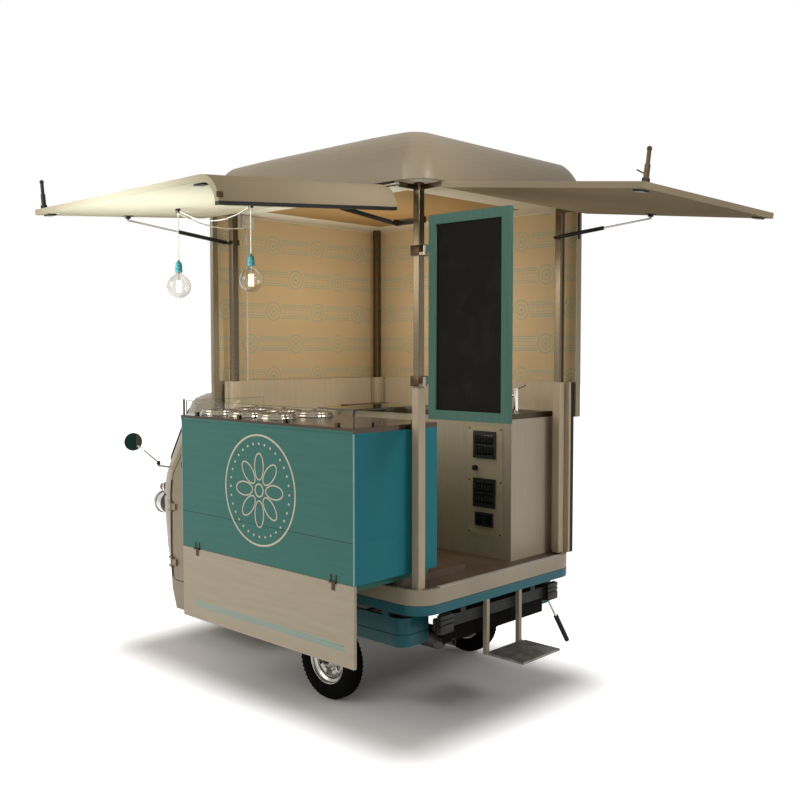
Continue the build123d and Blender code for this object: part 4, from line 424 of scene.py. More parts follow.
def chalk_slate(name, frame_colour):
    """Blackboard with rubbed-out chalk haze, in a brush-painted teal frame."""
    mat, tree, skin, parts = surface(
        name, lin("#0d0b09"), lin("#13100d"), 0.20, (0.60, 0.78), 0.003, 0.0001, shine=0.1)
    haze = add(tree, "ShaderNodeTexNoise", {
        "Vector": parts["place"], "Scale": 5.0, "Detail": 8.0, "Distortion": 1.2})
    rub = add(tree, "ShaderNodeMapRange", {
        "Value": haze.outputs[0], "From Min": 0.52, "From Max": 0.80, "To Max": 0.04})
    tinted_over(tree, skin, parts, rub.outputs[0], lin("#8b877e"))
    spot = axes(tree, parts["place"])
    inside = both(
        tree, within(tree, spot[0], -2.779, -2.389), within(tree, spot[2], 1.602, 2.476))
    edge = both(tree, 1.0, inside, "SUBTRACT")
    streaks = add(tree, "ShaderNodeMapping", {"Vector": parts["place"], "Scale": (40, 40, 4)}).outputs[0]
    grain = add(tree, "ShaderNodeTexNoise", {"Vector": streaks, "Scale": 3.0, "Detail": 6.0})
    wood = add(tree, "ShaderNodeMix", {
        0: grain.outputs[0], 6: shaded(frame_colour, 1.15), 7: shaded(frame_colour, 0.85)}, data_type="RGBA")
    tinted_over(tree, skin, parts, edge, wood.outputs[2])
    return mat


def panel_plate(name):
    """Cream switch plate; what stands proud of it is black moulded plastic."""
    mat, tree, skin, parts = surface(
        name, lin("#b3a58d"), lin("#a5977f"), 0.2, (0.4, 0.5), 0.002, 0.0001)
    out = axes(tree, parts["place"])[1]
    proud = both(tree, out, SWITCH_FACE_Y + 0.0006, "GREATER_THAN")
    tinted_over(tree, skin, parts, proud, lin("#1b1a18"))
    return mat


def clear_glass(name, tint, rough=(0.02, 0.05), bend=1.45):
    """Clear glass with a faint tint and a slightly uneven face."""
    mat, _, skin, _ = surface(name, lin(tint), shaded(lin(tint), 0.97), 0.3, rough, 0.05, 0.00001)
    skin.inputs["Transmission Weight"].default_value = 1.0
    skin.inputs["IOR"].default_value = bend
    return mat


def lens(name, tone, ribs):
    """Moulded lamp lens with prism ribs across it."""
    mat, tree, skin, parts = surface(
        name, lin(tone), shaded(lin(tone), 0.8), 0.05, (0.06, 0.14), 0.004, 0.0001)
    wave = add(tree, "ShaderNodeTexWave", {"Vector": parts["place"], "Scale": ribs}, bands_direction="Y")
    rib = add(tree, "ShaderNodeBump", {"Height": wave.outputs[0], "Distance": 0.001})
    tree.links.new(rib.outputs[0], skin.inputs["Normal"])
    skin.inputs["Coat Weight"].default_value = 0.6
    skin.inputs["Transmission Weight"].default_value = 0.25
    return mat


def glow(name, tone, strength):
    """Hot lamp filament, brighter and dimmer along its length."""
    mat, tree, skin, parts = surface(name, lin(tone), lin("#ffdf9a"), 0.01, (0.4, 0.5), 0.002, 0.0)
    tree.links.new(parts["tone"].outputs[2], skin.inputs["Emission Color"])
    skin.inputs["Emission Strength"].default_value = strength
    return mat


def leather_cover(name, colour):
    """Coated bench cover with a pebbled grain 1.5 mm across."""
    mat, tree, skin, parts = surface(
        name, shaded(colour, 1.1), shaded(colour, 0.8), 0.12, (0.42, 0.58), 0.003, 0.0002)
    pebbles = add(tree, "ShaderNodeTexVoronoi", {
        "Vector": parts["place"], "Scale": 650.0}, feature="SMOOTH_F1")
    grain = add(tree, "ShaderNodeBump", {
        "Height": pebbles.outputs["Distance"], "Distance": 0.0006, "Normal": parts["lift"].outputs[0]})
    tree.links.new(grain.outputs[0], skin.inputs["Normal"])
    skin.inputs["Sheen Weight"].default_value = 0.1
    return mat


def finish(name):
    """Gives a finish by name and makes it the first time it is asked for."""
    made = bpy.data.materials.get(name)
    if made:
        return made
    tint = bpy.context.scene.truck_colours
    makers = {
        "Cream coach paint": lambda n: coach_paint(n, shaded(tuple(tint.cream), 0.87), coat=0.04, shine=0.25),
        # Painted light: the awnings get the cream at 1.08 of its lightness where the roof gets 0.87, a lit
        # copy of the one paint standing in for the bright light on their undersides.
        "Awning cream with painted light": lambda n: coach_paint(n, shaded(tuple(tint.cream), 1.08), coat=0.0, shine=0.0),
        "Cream cab paint": lambda n: coach_paint(n, lin("#8b7b61")),
        # Painted shade: the mudguards get the deck band's teal at 0.8 of its lightness, a shaded copy of the
        # band's paint standing in for the shade under the deck rim.
        "Mudguard teal with painted shade": lambda n: coach_paint(n, shaded(tuple(tint.band), 0.8), coat=0.03, shine=0.2),
        "Teal boards": lambda n: counter_boards(n, tuple(tint.teal)),
        "Cream boards": lambda n: board_paint(
            n, shaded(tuple(tint.board), 1.10), (1.0, 1.0, 14.0), depth=0.0002),
        # Painted light: the lower walls get their cream made 1.28 times as light, a lit copy of the board
        # paint standing in for light inside the kiosk; the pinker hue is the boards' own.
        "Wall board cream with painted light": lambda n: board_paint(
            n, shaded(lin("#a3937b"), 1.28), (14.0, 14.0, 1.0), depth=0.0002, streaks=0.02),
        "Cream upright boards": lambda n: board_paint(n, tuple(tint.board), (14.0, 14.0, 1.0), depth=0.0002),
        "Deck rim paint": lambda n: rim_paint(n, tuple(tint.board), tuple(tint.band)),
        "Printed lining": lambda n: lining_print(n, tuple(tint.lining)),
        "Cream decal": lambda n: board_paint(n, lin("#c6bea8"), (1.0, 1.0, 6.0), depth=0.0001),
        "Pale teal stripe": lambda n: board_paint(n, lin("#74aaa8"), (6.0, 1.0, 1.0), depth=0.0001),
        # Painted reflection, in part: the posts' steel is given a dark brownish tone that stands in for the
        # dark, warm surroundings they reflect.
        "Post steel darkened as painted reflection": lambda n: metal(n, "#6e6250", (0.14, 0.26), (30, 30, 1)),
        # Painted reflection: the counter top's steel is given a dark brown tone that stands in for the dark
        # surroundings it reflects.
        "Top steel darkened as painted reflection": lambda n: metal(n, "#4d433b", (0.14, 0.24), (2, 40, 2)),
        "Worktop bronze darkened as painted reflection": worktop_sheet,
        "Polished steel": lambda n: metal(n, "#c9c4ba", (0.08, 0.18)),
        "Lid steel": lambda n: metal(n, "#9a8f80", (0.10, 0.20)),
        "Chrome": lambda n: metal(n, "#d8d6d2", (0.04, 0.10), smear=0.1),
        "Wheel steel": lambda n: metal(n, "#b5b1aa", (0.22, 0.36), smear=0.05),
        "Satin aluminium": lambda n: metal(n, "#b4aea2", (0.30, 0.42), (1, 30, 1)),
        "Cast alloy": lambda n: metal(n, "#4d4a46", (0.45, 0.65), smear=0.04),
        "Dark bronze": lambda n: metal(n, "#4a3c2c", (0.30, 0.45), smear=0.03),
        "Black rubber": lambda n: black_part(n, "#151311", (0.55, 0.70), 0.002, 0.0002),
        # Painted shade: a nearly black sheet for the shade under the deck.
        "Black sheet of painted shade": lambda n: black_part(n, "#0a0908", (0.75, 0.9), 0.003, 0.0003, 0.05),
        "Black plastic": lambda n: black_part(n, "#171614", (0.38, 0.50), 0.0015, 0.0001),
        "Black gloss plastic": lambda n: black_part(n, "#0d0d0c", (0.14, 0.22), 0.003, 0.00005),
        "Chassis enamel": lambda n: chassis_enamel(n, tuple(tint.board)),
        "Tyre rubber": lambda n: black_part(n, "#070706", (0.74, 0.88), 0.004, 0.0004, 0.05),
        "Tread plate": tread_plate,
        "Floor sheet": floor_sheet,
        "Slate in teal frame": lambda n: chalk_slate(n, lin("#55766c")),
        "Switch plate": panel_plate,
        "Glass edge": glass_edge,
        "Clear glass": lambda n: clear_glass(n, "#f1f7f3"),
        "Bulb glass": lambda n: clear_glass(n, "#f4f2ee", (0.01, 0.04)),
        "Wiped glass": lambda n: clear_glass(n, "#f8fbf9", (0.0, 0.004), 1.16),
        "Mirror glass": lambda n: metal(n, "#9aa0a0", (0.01, 0.03), smear=0.2),
        "Head lamp lens": lambda n: lens(n, "#d9d9d2", 90.0),
        "Red lens": lambda n: lens(n, "#8a2418", 140.0),
        "Amber lens": lambda n: lens(n, "#a85a14", 140.0),
        "Filament glow": lambda n: glow(n, "#ffd9a0", 9.0),
        "Pale cord sheath": lambda n: black_part(n, "#b5ab9a", (0.45, 0.6), 0.002, 0.0001),
        "Pale box plastic": lambda n: coach_paint(n, lin("#b9b1a2")),
        "Teal lamp holder": lambda n: coach_paint(n, lin("#3c7f80")),
        "Bench cover": lambda n: leather_cover(n, tuple(tint.cover)),
        "Bench board": lambda n: board_paint(n, lin("#4a4038"), (1.0, 14.0, 1.0)),
    }
    return makers[name](name)


def dress(node, name):
    """Gives a CAD node one finish."""
    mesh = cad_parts[node].data
    mesh.materials.clear()
    mesh.materials.append(finish(name))


def settle(bm, name, body, finishes, angle=35.0):
    """Turns a bmesh into a finished piece that rides on a body."""
    bmesh.ops.remove_doubles(bm, verts=bm.verts, dist=1e-6)
    bmesh.ops.recalc_face_normals(bm, faces=bm.faces)
    mesh = bpy.data.meshes.new(name)
    bm.to_mesh(mesh)
    bm.free()
    return place_mesh(mesh, name, body, finishes, angle)


def place_mesh(mesh, name, body, finishes, angle=35.0):
    """Links a mesh as a piece, smooths it and lets it ride on a body."""
    mesh.materials.clear()
    for each in finishes:
        mesh.materials.append(finish(each))
    mesh.shade_smooth()
    mesh.set_sharp_from_angle(angle=math.radians(angle))
    obj = bpy.data.objects.new(name, mesh)
    bpy.context.scene.collection.objects.link(obj)
    if body:
        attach(obj, body)
    return obj


def block(bm, low, high, round_by=0.0015, mat=0, steps=2):
    """Adds a box with rounded edges between two corners."""
    size = [b - a for a, b in zip(low, high)]
    middle = [(a + b) / 2 for a, b in zip(low, high)]
    made = bmesh.ops.create_cube(
        bm, size=1.0, matrix=Matrix.Translation(middle) @ Matrix.Diagonal((*size, 1.0)))
    verts = made["verts"]
    edges = list({e for v in verts for e in v.link_edges})
    faces = {f for v in verts for f in v.link_faces}
    if round_by:
        cut = bmesh.ops.bevel(
            bm, geom=edges, offset=min(round_by, min(size) * 0.45), segments=steps, affect="EDGES",
            profile=0.5)
        faces |= set(cut["faces"])
        verts = list({v for f in faces if f.is_valid for v in f.verts})
    for f in faces:
        if f.is_valid:
            f.material_index = mat
    return [v for v in verts if v.is_valid]


def round_point(radius, height, i, steps):
    """A point on a circle about the Z axis, a number of equal steps round it."""
    a = 2 * math.pi * i / steps
    return Vector((radius * math.cos(a), radius * math.sin(a), height))


def neighbours(rings, closed):
    """Each ring with the next, and the last with the first where the row is closed."""
    return list(zip(rings, rings[1:])) + ([(rings[-1], rings[0])] if closed else [])


def joined_rings(bm, rings, closed):
    """Lays faces between neighbouring rings of points, and caps the ends of an open row."""
    for one, two in neighbours(rings, closed):
        for k in range(len(one)):
            n = (k + 1) % len(one)
            bm.faces.new((one[k], one[n], two[n], two[k]))
    if not closed:
        bm.faces.new(list(reversed(rings[0])))
        bm.faces.new(rings[-1])


def lathe(bm, profile, place, steps=48, closed=False):
    """Turns a profile of radius and height round the Z axis of a placing matrix."""
    rings = []
    for radius, height in profile:
        if radius < 1e-7:
            rings.append([bm.verts.new(place @ Vector((0, 0, height)))])
            continue
        rings.append([bm.verts.new(place @ round_point(radius, height, i, steps)) for i in range(steps)])
    for one, two in neighbours(rings, closed):
        for i in range(steps):
            j = (i + 1) % steps
            corners = [one[i % len(one)], one[j % len(one)], two[j % len(two)], two[i % len(two)]]
            corners = list(dict.fromkeys(corners))
            if len(corners) > 2:
                bm.faces.new(corners)


def tube(bm, points, radius, sides=10, closed=False):
    """Sweeps a round section along points without twisting it."""
    points = [Vector(p) for p in points]
    count = len(points)
    rings = []
    side = None
    for i, point in enumerate(points):
        before = points[i - 1] if i or closed else point
        after = points[(i + 1) % count] if i < count - 1 or closed else point
        ahead = (after - before).normalized()
        if side is None:
            side = ahead.orthogonal().normalized()
        side = (side - ahead * side.dot(ahead)).normalized()
        up = ahead.cross(side)
        rings.append([
            bm.verts.new(point + radius * (
                side * math.cos(2 * math.pi * k / sides) + up * math.sin(2 * math.pi * k / sides)))
            for k in range(sides)])
    joined_rings(bm, rings, closed)


def turned(name, body, finish_name, profile, place, steps, angle=35.0, closed=False):
    """Makes one piece turned from a profile."""
    bm = bmesh.new()
    lathe(bm, profile, place, steps, closed)
    return settle(bm, name, body, [finish_name], angle)


def swept(name, body, finish_name, points, radius, sides, closed=False):
    """Makes one piece of round section along points."""
    bm = bmesh.new()
    tube(bm, points, radius, sides, closed)
    return settle(bm, name, body, [finish_name])


def boxes(name, body, finish_name, corners, round_by=0.001):
    """Makes one piece of rounded boxes, each between two corners."""
    bm = bmesh.new()
    for low, high in corners:
        block(bm, low, high, round_by)
    return settle(bm, name, body, [finish_name])


def small_part(profile, steps):
    """A small turned part that stands on the origin, to be set on many spots."""
    bm = bmesh.new()
    lathe(bm, profile, Matrix.Identity(4), steps)
    return bm


def rounded_loop(corners, radius, spacing=0.03):
    """Points round a closed outline in two directions, with its corners rounded."""
    out = []
    count = len(corners)
    for i, corner in enumerate(corners):
        here = Vector(corner)
        back = (Vector(corners[i - 1]) - here).normalized()
        ahead = (Vector(corners[(i + 1) % count]) - here).normalized()
        half = math.acos(max(-1, min(1, back.dot(ahead)))) / 2
        cut = radius / math.tan(half)
        start = here + back * cut
        middle = here + (back + ahead).normalized() * (radius / math.sin(half))
        end = here + ahead * cut
        from_angle = math.atan2(start.y - middle.y, start.x - middle.x)
        turn = math.atan2(end.y - middle.y, end.x - middle.x) - from_angle
        turn = (turn + math.pi) % (2 * math.pi) - math.pi
        for k in range(7):
            a = from_angle + turn * k / 6
            out.append(middle + radius * Vector((math.cos(a), math.sin(a))))
        far = Vector(corners[(i + 1) % count])
        there = (Vector(corners[(i + 2) % count]) - far).normalized()
        back_way = (here - far).normalized()
        next_half = math.acos(max(-1, min(1, back_way.dot(there)))) / 2
        stop = far + back_way * (radius / math.tan(next_half))
        steps = max(1, int((stop - end).length / spacing))
        out.extend(end + (stop - end) * k / steps for k in range(1, steps))
    return out


def cab_row(z):
    """Half width, end of the flat side and reach of the nose at a height on the cab."""
    for low, high in zip(CAB_ROWS, CAB_ROWS[1:]):
        if low[0] <= z <= high[0]:
            share = (z - low[0]) / (high[0] - low[0])
            return [a + share * (b - a) for a, b in zip(low[1:], high[1:])]
    raise ValueError("height outside the cab")


def nose_x(y, z):
    """How far forward the cab's nose is at a place."""
    half, side_end, nose = cab_row(z)
    centre = (nose ** 2 - side_end ** 2 - half ** 2) / (2 * (nose - side_end))
    return centre + math.sqrt(max(0.0, (nose - centre) ** 2 - y ** 2))


def side_y(x, z):
    """How far out the cab's side is at a place."""
    half, side_end, nose = cab_row(z)
    if x <= side_end:
        return half
    centre = (nose ** 2 - side_end ** 2 - half ** 2) / (2 * (nose - side_end))
    return math.sqrt(max(0.0, (nose - centre) ** 2 - (x - centre) ** 2))


def on_left_awning(x, out, up):
    """World place of a point on the left awning, from its hinge."""
    return Vector((
        x, HINGE_Y + out * math.cos(LEFT_DROOP) + up * math.sin(LEFT_DROOP),
        HINGE_Z - out * math.sin(LEFT_DROOP) + up * math.cos(LEFT_DROOP)))


def repeat_tree():
    """Geometry nodes that set one part on every point, turned by the points' own directions."""
    made = bpy.data.node_groups.get("Repeated part")
    if made:
        return made
    made = bpy.data.node_groups.new("Repeated part", "GeometryNodeTree")
    made.interface.new_socket("Geometry", in_out="INPUT", socket_type="NodeSocketGeometry")
    made.interface.new_socket("Part", in_out="INPUT", socket_type="NodeSocketObject")
    made.interface.new_socket("Size", in_out="INPUT", socket_type="NodeSocketFloat").default_value = 1.0
    made.interface.new_socket("Finish", in_out="INPUT", socket_type="NodeSocketMaterial")
    made.interface.new_socket("Geometry", in_out="OUTPUT", socket_type="NodeSocketGeometry")
    entry = add(made, "NodeGroupInput")
    face = add(made, "GeometryNodeInputNamedAttribute", {"Name": "face"}, data_type="FLOAT_VECTOR")
    along = add(made, "GeometryNodeInputNamedAttribute", {"Name": "along"}, data_type="FLOAT_VECTOR")
    stand = add(made, "FunctionNodeAlignRotationToVector", {"Vector": face.outputs[0]}, axis="Z")
    turn = add(made, "FunctionNodeAlignRotationToVector", {
        "Rotation": stand.outputs[0], "Vector": along.outputs[0]}, axis="X", pivot_axis="Z")
    part = add(made, "GeometryNodeObjectInfo", {"Object": entry.outputs["Part"]})
    spread = add(made, "GeometryNodeInstanceOnPoints", {
        "Points": entry.outputs["Geometry"], "Instance": part.outputs["Geometry"],
        "Rotation": turn.outputs[0], "Scale": entry.outputs["Size"]})
    solid = add(made, "GeometryNodeRealizeInstances", {"Geometry": spread.outputs[0]})
    coat = add(made, "GeometryNodeSetMaterial", {
        "Geometry": solid.outputs[0], "Material": entry.outputs["Finish"]})
    add(made, "NodeGroupOutput", {"Geometry": coat.outputs[0]})
    return made


def evaluated_copy(obj, tree, values):
    """Runs a geometry node tree on an object and gives its result as a plain mesh."""
    run = obj.modifiers.new("Nodes", "NODES")
    run.node_group = tree
    for item in tree.interface.items_tree:
        if item.in_out == "INPUT" and item.name in values:
            run[item.identifier] = values[item.name]
    graph = bpy.context.evaluated_depsgraph_get()
    mesh = bpy.data.meshes.new_from_object(obj.evaluated_get(graph))
    bpy.data.objects.remove(obj)
    return mesh


def repeated(name, spots, part_bm, body, finish_name):
    """Sets a small part on many spots, each a point, a facing and a direction along it."""
    mesh = bpy.data.meshes.new(name + " spots")
    mesh.from_pydata([spot[0] for spot in spots], [], [])
    for index, label in ((1, "face"), (2, "along")):
        layer = mesh.attributes.new(label, "FLOAT_VECTOR", "POINT")
        for i, spot in enumerate(spots):
            layer.data[i].vector = spot[index]
    holder = bpy.data.objects.new(name + " spots", mesh)
    part_mesh = bpy.data.meshes.new(name + " part")
    bmesh.ops.recalc_face_normals(part_bm, faces=part_bm.faces)
    part_bm.to_mesh(part_mesh)
    part_bm.free()
    part = bpy.data.objects.new(name + " part", part_mesh)
    for each in (holder, part):
        bpy.context.scene.collection.objects.link(each)
    result = evaluated_copy(holder, repeat_tree(), {
        "Part": part, "Size": 1.0, "Finish": finish(finish_name)})
    bpy.data.objects.remove(part)
    return place_mesh(result, name, body, [finish_name])


def screw_head(radius, height):
    """A domed screw head with a cross recess, standing on the origin."""
    return small_part([
        (radius, -0.0005), (radius, height * 0.4), (radius * 0.7, height * 0.85), (radius * 0.34, height),
        (radius * 0.2, height * 0.55), (0, height * 0.55)], 12)


def seen_rays(tree):
    """One for rays that come from the camera, straight or by way of a mirror or a pane."""
    rays = add(tree, "ShaderNodeLightPath")
    seen = both(tree, rays.outputs["Is Camera Ray"], rays.outputs["Is Glossy Ray"], "MAXIMUM")
    return both(tree, seen, rays.outputs["Is Transmission Ray"], "MAXIMUM")


class TRUCK_OT_stage(bpy.types.Operator):
    """Makes the floor, the light and the camera."""
    bl_idname = "truck.stage"
    bl_label = "Studio"

    def execute(self, context):
        studio = context.scene.truck_studio
        world = bpy.data.worlds.new("Studio")
        context.scene.world = world
        world.use_nodes = True
        tree = world.node_tree
        level = add(tree, "ShaderNodeMapRange", {
            "Value": seen_rays(tree), "To Min": studio.world, "To Max": 1.0})
        back = tree.nodes["Background"]
        back.inputs["Color"].default_value = (1, 1, 1, 1)
        tree.links.new(level.outputs[0], back.inputs["Strength"])

        mesh = bpy.data.meshes.new("Floor")
        mesh.from_pydata([(-40, -40, 0), (40, -40, 0), (40, 40, 0), (-40, 40, 0)], [], [(0, 1, 2, 3)])
        floor = bpy.data.objects.new("Floor", mesh)
        context.scene.collection.objects.link(floor)
        mat, tree, skin, parts = surface(
            "Studio floor", lin("#f2efec"), lin("#eceae6"), 2.0, (0.8, 0.9), 0.01, 0.0)
        spot = axes(tree, parts["place"])
        # Painted shadow: the floor gets no glow over the truck's footprint and for up to 0.5 m round it, so a
        # dark patch of that shape stands in for its shadow; further out it glows white to the camera.
        apart = []
        for axis, middle, half in ((0, -1.20, 1.08), (1, 0.12, 0.60)):
            from_middle = both(tree, spot[axis], middle, "SUBTRACT")
            size = single(tree, from_middle, "ABSOLUTE")
            apart.append(both(tree, both(tree, size, half, "SUBTRACT"), 0.0, "MAXIMUM"))
        far = distance(tree, *apart)
        glow_past_painted_shadow = add(tree, "ShaderNodeMapRange", {
            "Value": far, "From Max": 0.5, "To Min": 0.0, "To Max": 0.95}, interpolation_type="SMOOTHSTEP")
        skin.inputs["Emission Color"].default_value = (1, 1, 1, 1)
        tree.links.new(both(tree, glow_past_painted_shadow.outputs[0], seen_rays(tree)), skin.inputs["Emission Strength"])
        skin.inputs["Specular IOR Level"].default_value = 0.1
        mesh.materials.append(mat)

        lamps = (
            ("Key", (1.2, 6.2, 4.2), (-1.4, 0.4, 1.3), 4.0, studio.key, (1.0, 0.97, 0.92), 180),
            ("Fill", (-6.5, -1.2, 3.6), (-2.2, -0.1, 1.1), 1.4, studio.fill, (0.98, 0.99, 1.0), 40),
            ("Top", (-1.2, 0.4, 6.6), (-1.2, 0.3, 0.0), 5.0, studio.top, (1.0, 0.96, 0.90), 180),
            ("Roof", (-7.0, 1.2, 4.1), (-2.2, 0.90, 2.79), 1.0, studio.roof, (1.0, 0.98, 0.95), 26),
            ("Underside", (-1.35, 3.2, 0.10), (-1.4, 1.35, 2.6), 0.8, studio.under, (0.70, 0.87, 1.0), 36),
        )
        for name, place, aim, size, power, colour, spread in lamps:
            data = bpy.data.lights.new(name, "AREA")
            data.size = size
            data.energy = power
            data.color = colour
            data.spread = math.radians(spread)
            lamp = bpy.data.objects.new(name, data)
            lamp.location = place
            lamp.rotation_euler = (Vector(aim) - Vector(place)).to_track_quat("-Z", "Y").to_euler()
            lamp.visible_camera = False
            if name == "Underside":
                lamp.visible_glossy = False
                lamp.visible_transmission = False
            context.scene.collection.objects.link(lamp)
        data = bpy.data.lights.new("Inside", "POINT")
        data.energy = studio.inside
        data.color = (1.0, 0.93, 0.80)
        data.shadow_soft_size = 0.30
        lamp = bpy.data.objects.new("Inside", data)
        lamp.location = (-1.45, -0.02, 2.15)
        lamp.visible_camera = False
        lamp.visible_glossy = False
        lamp.visible_transmission = False
        context.scene.collection.objects.link(lamp)

        data = bpy.data.cameras.new("Photo view")
        data.lens = 43.48
        data.sensor_width = 36.0
        camera = bpy.data.objects.new("Photo view", data)
        camera.location = (-5.430, 4.056, 1.887)
        camera.rotation_euler = Vector((0.6899, -0.7221, -0.0520)).to_track_quat("-Z", "Y").to_euler()
        context.scene.collection.objects.link(camera)
        context.scene.camera = camera
        context.scene.view_settings.view_transform = "Standard"
        return {"FINISHED"}


class TRUCK_OT_coachwork(bpy.types.Operator):
    """Gives every CAD piece that stays in view its finish."""
    bl_idname = "truck.coachwork"
    bl_label = "Coachwork finishes"

    def execute(self, context):
        groups = {
            "Cream coach paint": ("roof_shell", "wall_panels"),
            "Awning cream with painted light": ("left_awning", "rear_awning"),
            "Cream cab paint": ("cab_shell", "left_door", "right_door"),
            "Mudguard teal with painted shade": ("rear_mudguards",),
            "Teal boards": ("counter_body",),
            "Cream boards": ("counter_flap",),
            "Cream upright boards": ("side_cabinet",),
            "Wall board cream with painted light": ("lower_walls",),
            "Deck rim paint": ("deck_rim",),
            "Floor sheet": ("deck_floor",),
            "Printed lining": ("wall_and_ceiling_lining",),
            "Post steel darkened as painted reflection": ("corner_posts",),
            "Top steel darkened as painted reflection": ("counter_top",),
            "Worktop bronze darkened as painted reflection": ("cabinet_top",),
            "Chassis enamel": ("chassis_frame", "steering_fork"),
            "Cast alloy": ("engine",),
            "Black plastic": ("left_awning_fittings", "rear_awning_fittings", "left_strut_tubes",
                              "rear_strut_tube", "control_dial", "left_awning_latch"),
            "Chrome": ("left_strut_rods", "rear_strut_rod", "tap_lever", "hand_lever"),
            "Dark bronze": ("rear_awning_latch",),
            "Clear glass": ("cab_glass", "left_door_glass", "right_door_glass"),
            "Wiped glass": ("glass_guard",),
            "Slate in teal frame": ("chalkboard",),
            "Switch plate": ("control_panel",),
            "Tread plate": ("step_plate",),
            "Pale box plastic": ("junction_box",),
        }
        for name, nodes in groups.items():
            for node in nodes:
                dress(node, name)
        for node in ("cab_glass", "left_door_glass", "right_door_glass", "glass_guard"):
            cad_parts[node].visible_shadow = False
        return {"FINISHED"}


class TRUCK_OT_cords(bpy.types.Operator):
    """Makes the supply cord, its swag and the two pendant lamps."""
    bl_idname = "truck.cords"
    bl_label = "Cords and pendant lamps"

    def execute(self, context):
        sizes = context.scene.truck_sizes
        hook_front = on_left_awning(*FRONT_HOOK)
        hook_rear = on_left_awning(*REAR_HOOK)
        supply = [
            (-0.7452, 0.500, 2.640), (-0.7762, 0.507, 2.628), (-0.8062, 0.524, 2.615),
            (-0.8332, 0.554, 2.603), (-0.8552, 0.596, 2.592), (-0.8772, 0.652, 2.583),
            (-0.9032, 0.718, 2.575), (-0.9312, 0.788, 2.569), (-0.9592, 0.860, 2.566),
            (-0.9882, 0.931, 2.566), (-1.0182, 1.001, 2.569), (-1.0482, 1.070, 2.576),
            (-1.0762, 1.134, 2.585), (hook_front.x + 0.0142, hook_front.y - 0.002, hook_front.z - 0.004)]
        start = Vector((hook_front.x - 0.0134, hook_front.y, hook_front.z))
        end = Vector((hook_rear.x + 0.0134, hook_rear.y, hook_rear.z))
        swag = []
        for i in range(8):
            k = i / 7
            swag.append(start.lerp(end, k) - Vector((0, 0, 4 * SWAG_SAG * k * (1 - k))))
        cord = self.cord_mesh("supply_cord.sheath", supply, sizes.cord_radius, None, ("supply_cord",))
        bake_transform(cord)
        self.cord_mesh("lamp_swag.sheath", swag, sizes.cord_radius, "left_awning_body", ("lamp_swag",))
        self.pendant("front_pendant", hook_front, 0.386, sizes)
        self.pendant("rear_pendant", hook_rear, 0.375, sizes)
        return {"FINISHED"}

    def cord_mesh(self, name, points, radius, body, nodes, far_end="object", lay="hanging", pieces=()):
        """A cord along a smooth line through a route's points."""
        curve = bpy.data.curves.new(name, "CURVE")
        curve.dimensions = "3D"
        curve.resolution_u = 6
        line = curve.splines.new("NURBS")
        line.points.add(len(points) - 1)
        for spot, point in zip(line.points, points):
            spot.co = (*point, 1.0)
        line.order_u = 3
        line.use_endpoint_u = True
        route = bpy.data.objects.new(name + " route", curve)
        context = bpy.context
        context.scene.collection.objects.link(route)
        graph = context.evaluated_depsgraph_get()
        bare = bpy.data.meshes.new_from_object(route.evaluated_get(graph))
        path = [v.co.copy() for v in bare.vertices]
        bpy.data.objects.remove(route)
        obj = swept(name, body, "Pale cord sheath", path, radius, 12)
        if nodes:
            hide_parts(*nodes)
        return obj

    def pendant(self, name, hook, drop, sizes):
        """One pendant: cord on an eye, a ribbed holder, a clear globe and a caged filament."""
        bulb_z = hook.z - drop
        top_z = bulb_z + 0.074
        at = Matrix.Translation((hook.x, hook.y, bulb_z))
        neck = Matrix.Translation((hook.x, hook.y, bulb_z + 0.015))
        holder = turned(name + ".holder", name, "Teal lamp holder", [
            (0.0035, 0.121), (0.006, 0.119), (0.0075, 0.112), (0.0135, 0.108), (0.0165, 0.100),
            (0.0170, 0.096), (0.0162, 0.094), (0.0175, 0.092), (0.0182, 0.078), (0.0172, 0.076),
            (0.0185, 0.074), (0.0189, 0.062), (0.0180, 0.058), (0.0150, 0.057), (0.0148, 0.070),
            (0.0, 0.072)], neck, 32)
        wall = 0.0011
        big = sizes.bulb_radius
        outer = []
        for i in range(15):
            a = math.pi * i / 17
            outer.append((big * math.sin(a), -big * math.cos(a)))
        outer += [(0.0225, 0.0590), (0.0165, 0.0655), (0.0142, 0.0700), (0.0140, 0.0830)]
        inner = [(max(r - wall, 0.0), h + (wall if h < 0.04 else 0.0)) for r, h in reversed(outer)]
        inner[-1] = (0.0, outer[0][1] + wall)
        outer[0] = (0.0, outer[0][1])
        globe = turned(name + ".globe", name, "Bulb glass", outer + inner, at, 40, angle=60)
        globe.visible_shadow = False
        cage = [at @ round_point(0.011, 0.028 if i % 2 else -0.030, i, 12) for i in range(12)]
        swept(name + ".filament", name, "Filament glow", cage, 0.0018, 6, closed=True)
        bm = bmesh.new()
        stem = [(0.0, 0.032), (0.0022, 0.032), (0.0022, 0.058), (0.006, 0.070), (0.0, 0.075)]
        lathe(bm, stem, at, steps=12)
        for side in (-1, 1):
            tube(bm, [at @ Vector((0.002 * side, 0, 0.062)), at @ Vector((0.005 * side, 0, 0.040)),
                      at @ Vector((0.011 * side, 0, 0.028))], 0.0006, sides=6)
        settle(bm, name + ".stem", name, ["Polished steel"])
        loop = [Vector((hook.x, hook.y + 0.0062 * math.sin(2 * math.pi * i / 20),
                        hook.z + 0.0062 * math.cos(2 * math.pi * i / 20))) for i in range(20)]
        swept(name + ".eye", name, "Pale cord sheath", loop, 0.0022, 8, closed=True)
        self.cord_mesh(
            name + ".cord", [(hook.x, hook.y, hook.z - 0.0065), (hook.x, hook.y, hook.z - 0.10),
                             (hook.x, hook.y, bulb_z + 0.21), (hook.x, hook.y, top_z + 0.0605)],
            sizes.cord_radius, name, (), far_end="fitting", lay="taut", pieces=(holder,))
        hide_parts(name + "_lamp")


